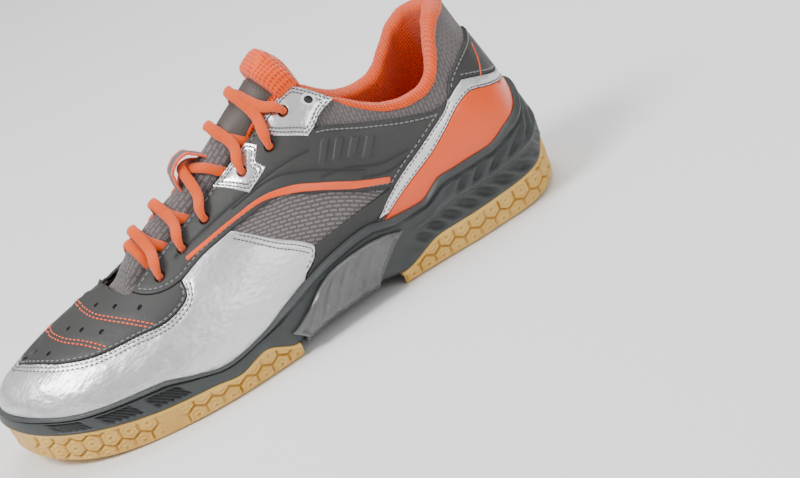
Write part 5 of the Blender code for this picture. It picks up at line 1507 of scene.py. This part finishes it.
def shell(name, rings, low_z, high_z, spacing, look, angle=45, painted_shade=None):
    """Closed piece from rings of points, with level caps whose height is a function of (x, y).
    The painted-shade level has a row for each ring, and darkens it with painted shade."""
    count = len(rings[0])
    points = [np.concatenate(rings)]
    faces = ring_faces(len(rings), count)
    total = count * len(rings)
    for first, ring, height in ((0, rings[0], low_z), (total - count, rings[-1], high_z)):
        level, triangles = cap(ring[:, :2], spacing)
        inner = level[count:]
        points.append(np.column_stack([inner, height(inner[:, 0], inner[:, 1])]))
        index = np.concatenate([first + np.arange(count), total + np.arange(len(inner))])
        faces += [tuple(t) for t in index[triangles].tolist()]
        total += len(inner)
    if painted_shade is not None:
        painted_shade = np.concatenate([np.concatenate(painted_shade), np.zeros(total - count * len(rings))])
    return finish_piece(name, np.concatenate(points), faces, look, angle=angle, painted_shade=painted_shade)


def make_midsole():
    s = np.linspace(-HEEL, HEEL, 1100, endpoint=False)
    _, under, gum, top, flange = sole_ring_heights(s)
    foot = handles(s)[0][:, 2]
    on_gum = np.zeros(len(s))
    for a, b in (FOREFOOT_PAD_END, HEEL_PAD_END):
        for lap in (s, s + LAP):
            on_gum = np.maximum(on_gum, plateau(lap, a - 0.04, b + 0.04, 0.04))
    recess = flange - (GUM_WALL + 0.45) * on_gum
    base = np.maximum(gum, under + 1.2)
    rings = [foot_ring(s, flange - GUM_WALL - 2.2, under),
             foot_ring(s, recess - 0.6, under + 0.5),
             wall_ring(s, recess, base - 0.2),
             wall_ring(s, flange - 0.4, base + 0.1)]
    painted_shade = [np.zeros(len(s))] * 4
    for t in np.linspace(0.03, 1, 44):
        z = base + 0.3 + (top - base - 0.3) * t
        spread = ((1 - t) * (1 - 2 * t) * flange + 4 * t * (1 - t) * (flange * 0.45 + 1.6)
                  + t * (2 * t - 1) * 3.0)
        rounding = 0.9 * np.clip((t - 0.93) / 0.07, 0, 1) ** 2
        relief = midsole_relief(s, z, base, top)
        rings.append(wall_ring(s, spread + relief - rounding, z))
        # Painted shade where the wall's relief sinks in.
        painted_shade.append(np.clip(-relief / 1.8, 0, 0.8))
    painted_shade += [np.zeros(len(s))] * 4
    rings += [wall_ring(s, 1.6, top + 0.05), wall_ring(s, CUP_CLEARANCE - 0.1, top - 0.6),
              wall_ring(s, CUP_CLEARANCE, foot + 5), foot_ring(s, CUP_CLEARANCE, foot - 0.6)]
    shell("midsole", rings, lambda x, y: underside(y), lambda x, y: by_table(FOOT_LEVEL, y) - 0.6, 6.0,
          FOAM, painted_shade=painted_shade)


HEX = 8.6


def hex_field(u, v):
    """Height pattern of gum cells: groove between cells, a ring, and a dimple in the middle."""
    row_step = HEX * math.sqrt(3) / 2
    best = np.full(np.shape(u), 1e9)
    edge = np.full(np.shape(u), -1.0)
    row = np.round(v / row_step)
    for dr in (-1, 0, 1):
        r = row + dr
        shift = (r % 2) * HEX / 2
        column = np.round((u - shift) / HEX)
        for dc in (-1, 0, 1):
            x, y = u - (column + dc) * HEX - shift, v - r * row_step
            d = np.hypot(x, y)
            near = d < best
            best = np.where(near, d, best)
            angle = np.maximum(np.abs(x), np.abs(x) / 2 + np.abs(y) * math.sqrt(3) / 2)
            edge = np.where(near, angle, edge)
    border = HEX / 2 - edge
    groove = -1.5 * smoothstep(1 - border / 1.0)
    ring_groove = -0.55 * ridge(best - 2.5, 0.7)
    dimple = -1.2 * ridge(best, 1.15)
    return groove + ring_groove + dimple


def gum_pattern(s, u, v, gum_height):
    """Hexagon cells, but for a smooth toe band and a smooth scoop on the side."""
    smooth_part = np.maximum(plateau(np.abs(s), 0.25, 0.85, 0.12), plateau(np.abs(s), 2.85, 3.4, 0.15))
    lip = np.clip((gum_height - 1.2) / 1.2, 0, 1)
    return hex_field(u, v) * (1 - smooth_part) * lip - 0.5 * smooth_part * lip


def make_tread(name, ends, crossing_xy):
    """Gum outsole: cells on its wall and on the tread, with a bend where the arch begins."""
    count = int((arc(np.array([ends[1]]))[0] - arc(np.array([ends[0]]))[0]) / 0.85)
    s = np.linspace(*ends, count)
    s_round = round_foot(s)
    low, _, gum, _, flange = sole_ring_heights(s_round)
    floor, u = low + TREAD, arc(s)
    top = np.maximum(gum, floor + 1.0)
    t = np.linspace(0, 1, 90)[1:-1, None]

    def closed(wall, height):
        a, b = wall[-1], wall[0]
        bend = (1 - t) ** 2 * a + 2 * t * (1 - t) * np.array([*crossing_xy, 0.0]) + t * t * b
        bend[:, 2] = height(bend[:, 1])
        return np.concatenate([wall, bend])

    rings = [closed(foot_ring(s_round, flange - 3.4, low + 0.1), lambda y: ground(y) + 0.1),
             closed(foot_ring(s_round, flange - 2.2, low + 0.25), lambda y: ground(y) + 0.3),
             closed(foot_ring(s_round, flange - 1.1, low + 1.0), lambda y: ground(y) + 0.9)]
    plain = [np.zeros(len(rings[0]))] * 3
    painted_shade = list(plain)
    for f in np.linspace(0, 1, 26):
        z = low + 2.2 + (top - 0.35 - low - 2.2) * f
        blend = smoothstep(f * 1.6)
        foot, wall = foot_ring(s_round, flange - 0.4, z), wall_ring(s_round, flange, z)
        line = foot * (1 - blend) + wall * blend
        pattern = gum_pattern(s_round, u, z - 3.0, top - z)
        line[:, :2] += outward(s_round) * pattern[:, None]
        # Painted shade in the grooves and dimples of the gum cells.
        painted_shade.append(np.concatenate([np.clip(-pattern / 1.5, 0, 1), np.zeros(len(t))]))
        rings.append(closed(line, lambda y, f=f: ground(y) + 1.6 + f * (TREAD - 1.9)))
    rings += [closed(wall_ring(s_round, flange - 0.5, top), lambda y: ground(y) + TREAD - 0.2),
              closed(wall_ring(s_round, flange - GUM_WALL, top), lambda y: ground(y) + TREAD - 0.1),
              closed(foot_ring(s_round, flange - GUM_WALL - 0.6, floor), lambda y: ground(y) + TREAD)]
    shell(name, rings, lambda x, y: ground(y) + 0.1 - hex_field(x, y) * 0.9,
          lambda x, y: ground(y) + TREAD, 1.5, GUM, angle=60,
          painted_shade=painted_shade + plain)


def make_arch_shank():
    """Translucent leaf up each side of the midsole, joined under the arch. It leans back, and
    ends in a point behind."""
    lateral = np.linspace(5.45, 6.9, 80)
    tilt = np.linspace(-0.17, 0.71, len(lateral))
    leaf = by_table([(5.28, 13), (5.62, 17), (5.98, 24), (6.3, 28), (6.6, 29), (6.93, 29.3), (7.33, 28),
                     (7.61, 25.5)], lateral + tilt)
    across = -(lateral - RING_STEP)
    s, tilt, leaf = np.concatenate([lateral, across]), np.concatenate([tilt, -tilt]), np.tile(leaf, 2)
    half = len(lateral)
    _, under, gum, _, flange = sole_ring_heights(s)
    start = np.maximum(gum, under + 1.2)
    from_end = np.tile(np.minimum(lateral - lateral[0], lateral[-1] - lateral) * STATION_LENGTH, 2)

    def section(clear):
        rows = [foot_ring(s, flange - 12, under - clear), foot_ring(s, flange - 6, under - clear),
                foot_ring(s, flange - 1.0 + clear * 0.4, under - clear),
                foot_ring(s, flange + clear, under + 0.5)]
        for t in np.linspace(0, 1, 30):
            station, z = s + tilt * t, start + (leaf - start) * t
            _, under_here, gum_here, top, flange_here = sole_ring_heights(station)
            low = np.maximum(gum_here, under_here + 1.2)
            position = np.clip((z - low) / (top - low), 0, 1)
            spread = (1 - position) * flange_here + position * 3.0 - 2.2 * position * (1 - position)
            edge = np.minimum(from_end, leaf - z) / 2.2
            border = 0.9 * ridge(np.clip(edge, 0, 1) - 0.45, 0.42)
            lean = np.abs(arc(station) - ARC[-1] / 2) - z * 0.9
            rib = 0.5 + 0.5 * np.cos(lean * 2 * math.pi / 8)
            out = (border + 0.6 * (rib ** 2 - 0.3) * np.clip(edge - 1, 0, 1)) * (clear > 1)
            rows.append(wall_ring(station, spread + clear + 0.5 + out, z))
        sides = np.stack(rows, 1)
        return np.concatenate([sides[:half, ::-1], sides[half:]], axis=1)

    finish_piece("arch_shank", *sheet(section(0.4), section(1.9)), SHANK)


def make_sockliner():
    s = np.linspace(-HEEL, HEEL, 300, endpoint=False)
    foot = handles(s)[0][:, 2]
    rings = [foot_ring(s, spread, foot + z)
             for spread, z in ((-6.9, 2.0), (-6.4, 2.5), (-6.4, 5.0), (-6.8, 5.5), (-7.5, 5.6))]
    shell("sockliner", rings, lambda x, y: by_table(FOOT_LEVEL, y) + 2.0,
          lambda x, y: by_table(FOOT_LEVEL, y) + 5.6, 5.0, SOCK)


# ------------------------------------------------------------------------- scene, light, camera

def make_upper():
    both(make_quarter)
    both(make_patches)
    both(make_heel_sides)
    make_wrap()
    make_vamp()
    make_guard()
    make_meshes()
    make_tab()
    make_collar()
    make_tongue()
    make_keeper_loop()
    make_lace()
    make_eyelets()
    dark_stitches.make("dark_stitching", (DARK_THREAD, "dark_synthetic"))
    grey_stitches.make("grey_stitching", (GREY_THREAD, "dark_synthetic"))
    orange_stitches.make("orange_stitching", (ORANGE_THREAD, "orange_synthetic"))
    tongue_stitches.make("tongue_stitching", (DARK_THREAD, "mesh_grey"), "tongue")


def make_sole():
    make_midsole()
    make_tread("forefoot_outsole", FOREFOOT_PAD_END, (2, -66))
    make_tread("heel_outsole", HEEL_PAD_END, (3, 78))
    make_arch_shank()
    make_sockliner()


def dress_hidden_nodes():
    """Materials of the nodes inside the upper, which stay as they are."""
    for node, material in (("insole_board", BOARD), ("toe_puff", STIFFENER), ("heel_counter", STIFFENER)):
        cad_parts[node].data.materials.clear()
        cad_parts[node].data.materials.append(material)


def make_floor():
    bpy.ops.mesh.primitive_plane_add(size=60, location=(0, 0, -0.0002))
    floor = bpy.context.object
    floor.name = "studio_floor"
    paper = Finish("studio_paper", (0.92, 0.92, 0.92), 0.6, Specular_IOR_Level=0.15)
    floor.data.materials.append(paper.material)


def make_world():
    """Pale studio: brighter overhead than at the sides, so that shiny parts have something to show."""
    world = bpy.data.worlds.new("studio")
    world.use_nodes = True
    tree = world.node_tree
    place, split = tree.nodes.new("ShaderNodeTexCoord"), tree.nodes.new("ShaderNodeSeparateXYZ")
    ramp = tree.nodes.new("ShaderNodeValToRGB")
    ramp.color_ramp.elements[0].color = (0.62, 0.62, 0.62, 1)
    ramp.color_ramp.elements[0].position = 0.02
    ramp.color_ramp.elements[1].color = (1, 1, 1, 1)
    ramp.color_ramp.elements[1].position = 0.75
    back = tree.nodes["Background"]
    tree.links.new(place.outputs["Generated"], split.inputs[0])
    tree.links.new(split.outputs[2], ramp.inputs[0])
    tree.links.new(ramp.outputs[0], back.inputs["Color"])
    back.inputs["Strength"].default_value = 0.72
    bpy.context.scene.world = world


def soft_light(name, place, energy, size, aim=(0, 0, 0.05)):
    """Round area light of size metres, turned to the shoe."""
    data = bpy.data.lights.new(name, "AREA")
    data.energy = energy
    data.shape = "DISK"
    data.size = size
    lamp = bpy.data.objects.new(name, data)
    lamp.location = place
    lamp.rotation_euler = (Vector(aim) - Vector(place)).to_track_quat("-Z", "Y").to_euler()
    bpy.context.scene.collection.objects.link(lamp)


CAMERA_PLACE = Vector((950.0, -200.3, 405.4))
CAMERA_RIGHT = Vector((0.3941, 0.8309, -0.3928))
CAMERA_DOWN = Vector((0.2171, -0.4995, -0.8387))
CAMERA_AHEAD = Vector((-0.8931, 0.2452, -0.3772))
LENS = 99.34


def make_camera():
    """Camera at the lateral side, rolled so that the flat shoe is seen as one that stands on its toe."""
    data = bpy.data.cameras.new("camera")
    data.lens = LENS
    data.sensor_width = 36
    data.clip_start, data.clip_end = 0.05, 100
    camera = bpy.data.objects.new("camera", data)
    pose = Matrix([CAMERA_RIGHT, -CAMERA_DOWN, -CAMERA_AHEAD]).transposed().to_4x4()
    pose.translation = (CAMERA_PLACE - Vector(CENTRE)) * MM
    camera.matrix_world = pose
    bpy.context.scene.collection.objects.link(camera)
    bpy.context.scene.camera = camera


make_upper()
make_sole()
dress_hidden_nodes()
make_floor()
make_world()
for name, place, watts, size in (("key", (0.2, -0.9, 1.2), 22, 0.6), ("fill", (1.3, 0.5, 0.6), 6, 0.9),
                                 ("top", (-0.3, 0.3, 1.3), 10, 0.8)):
    soft_light(name, place, watts, size)
make_camera()
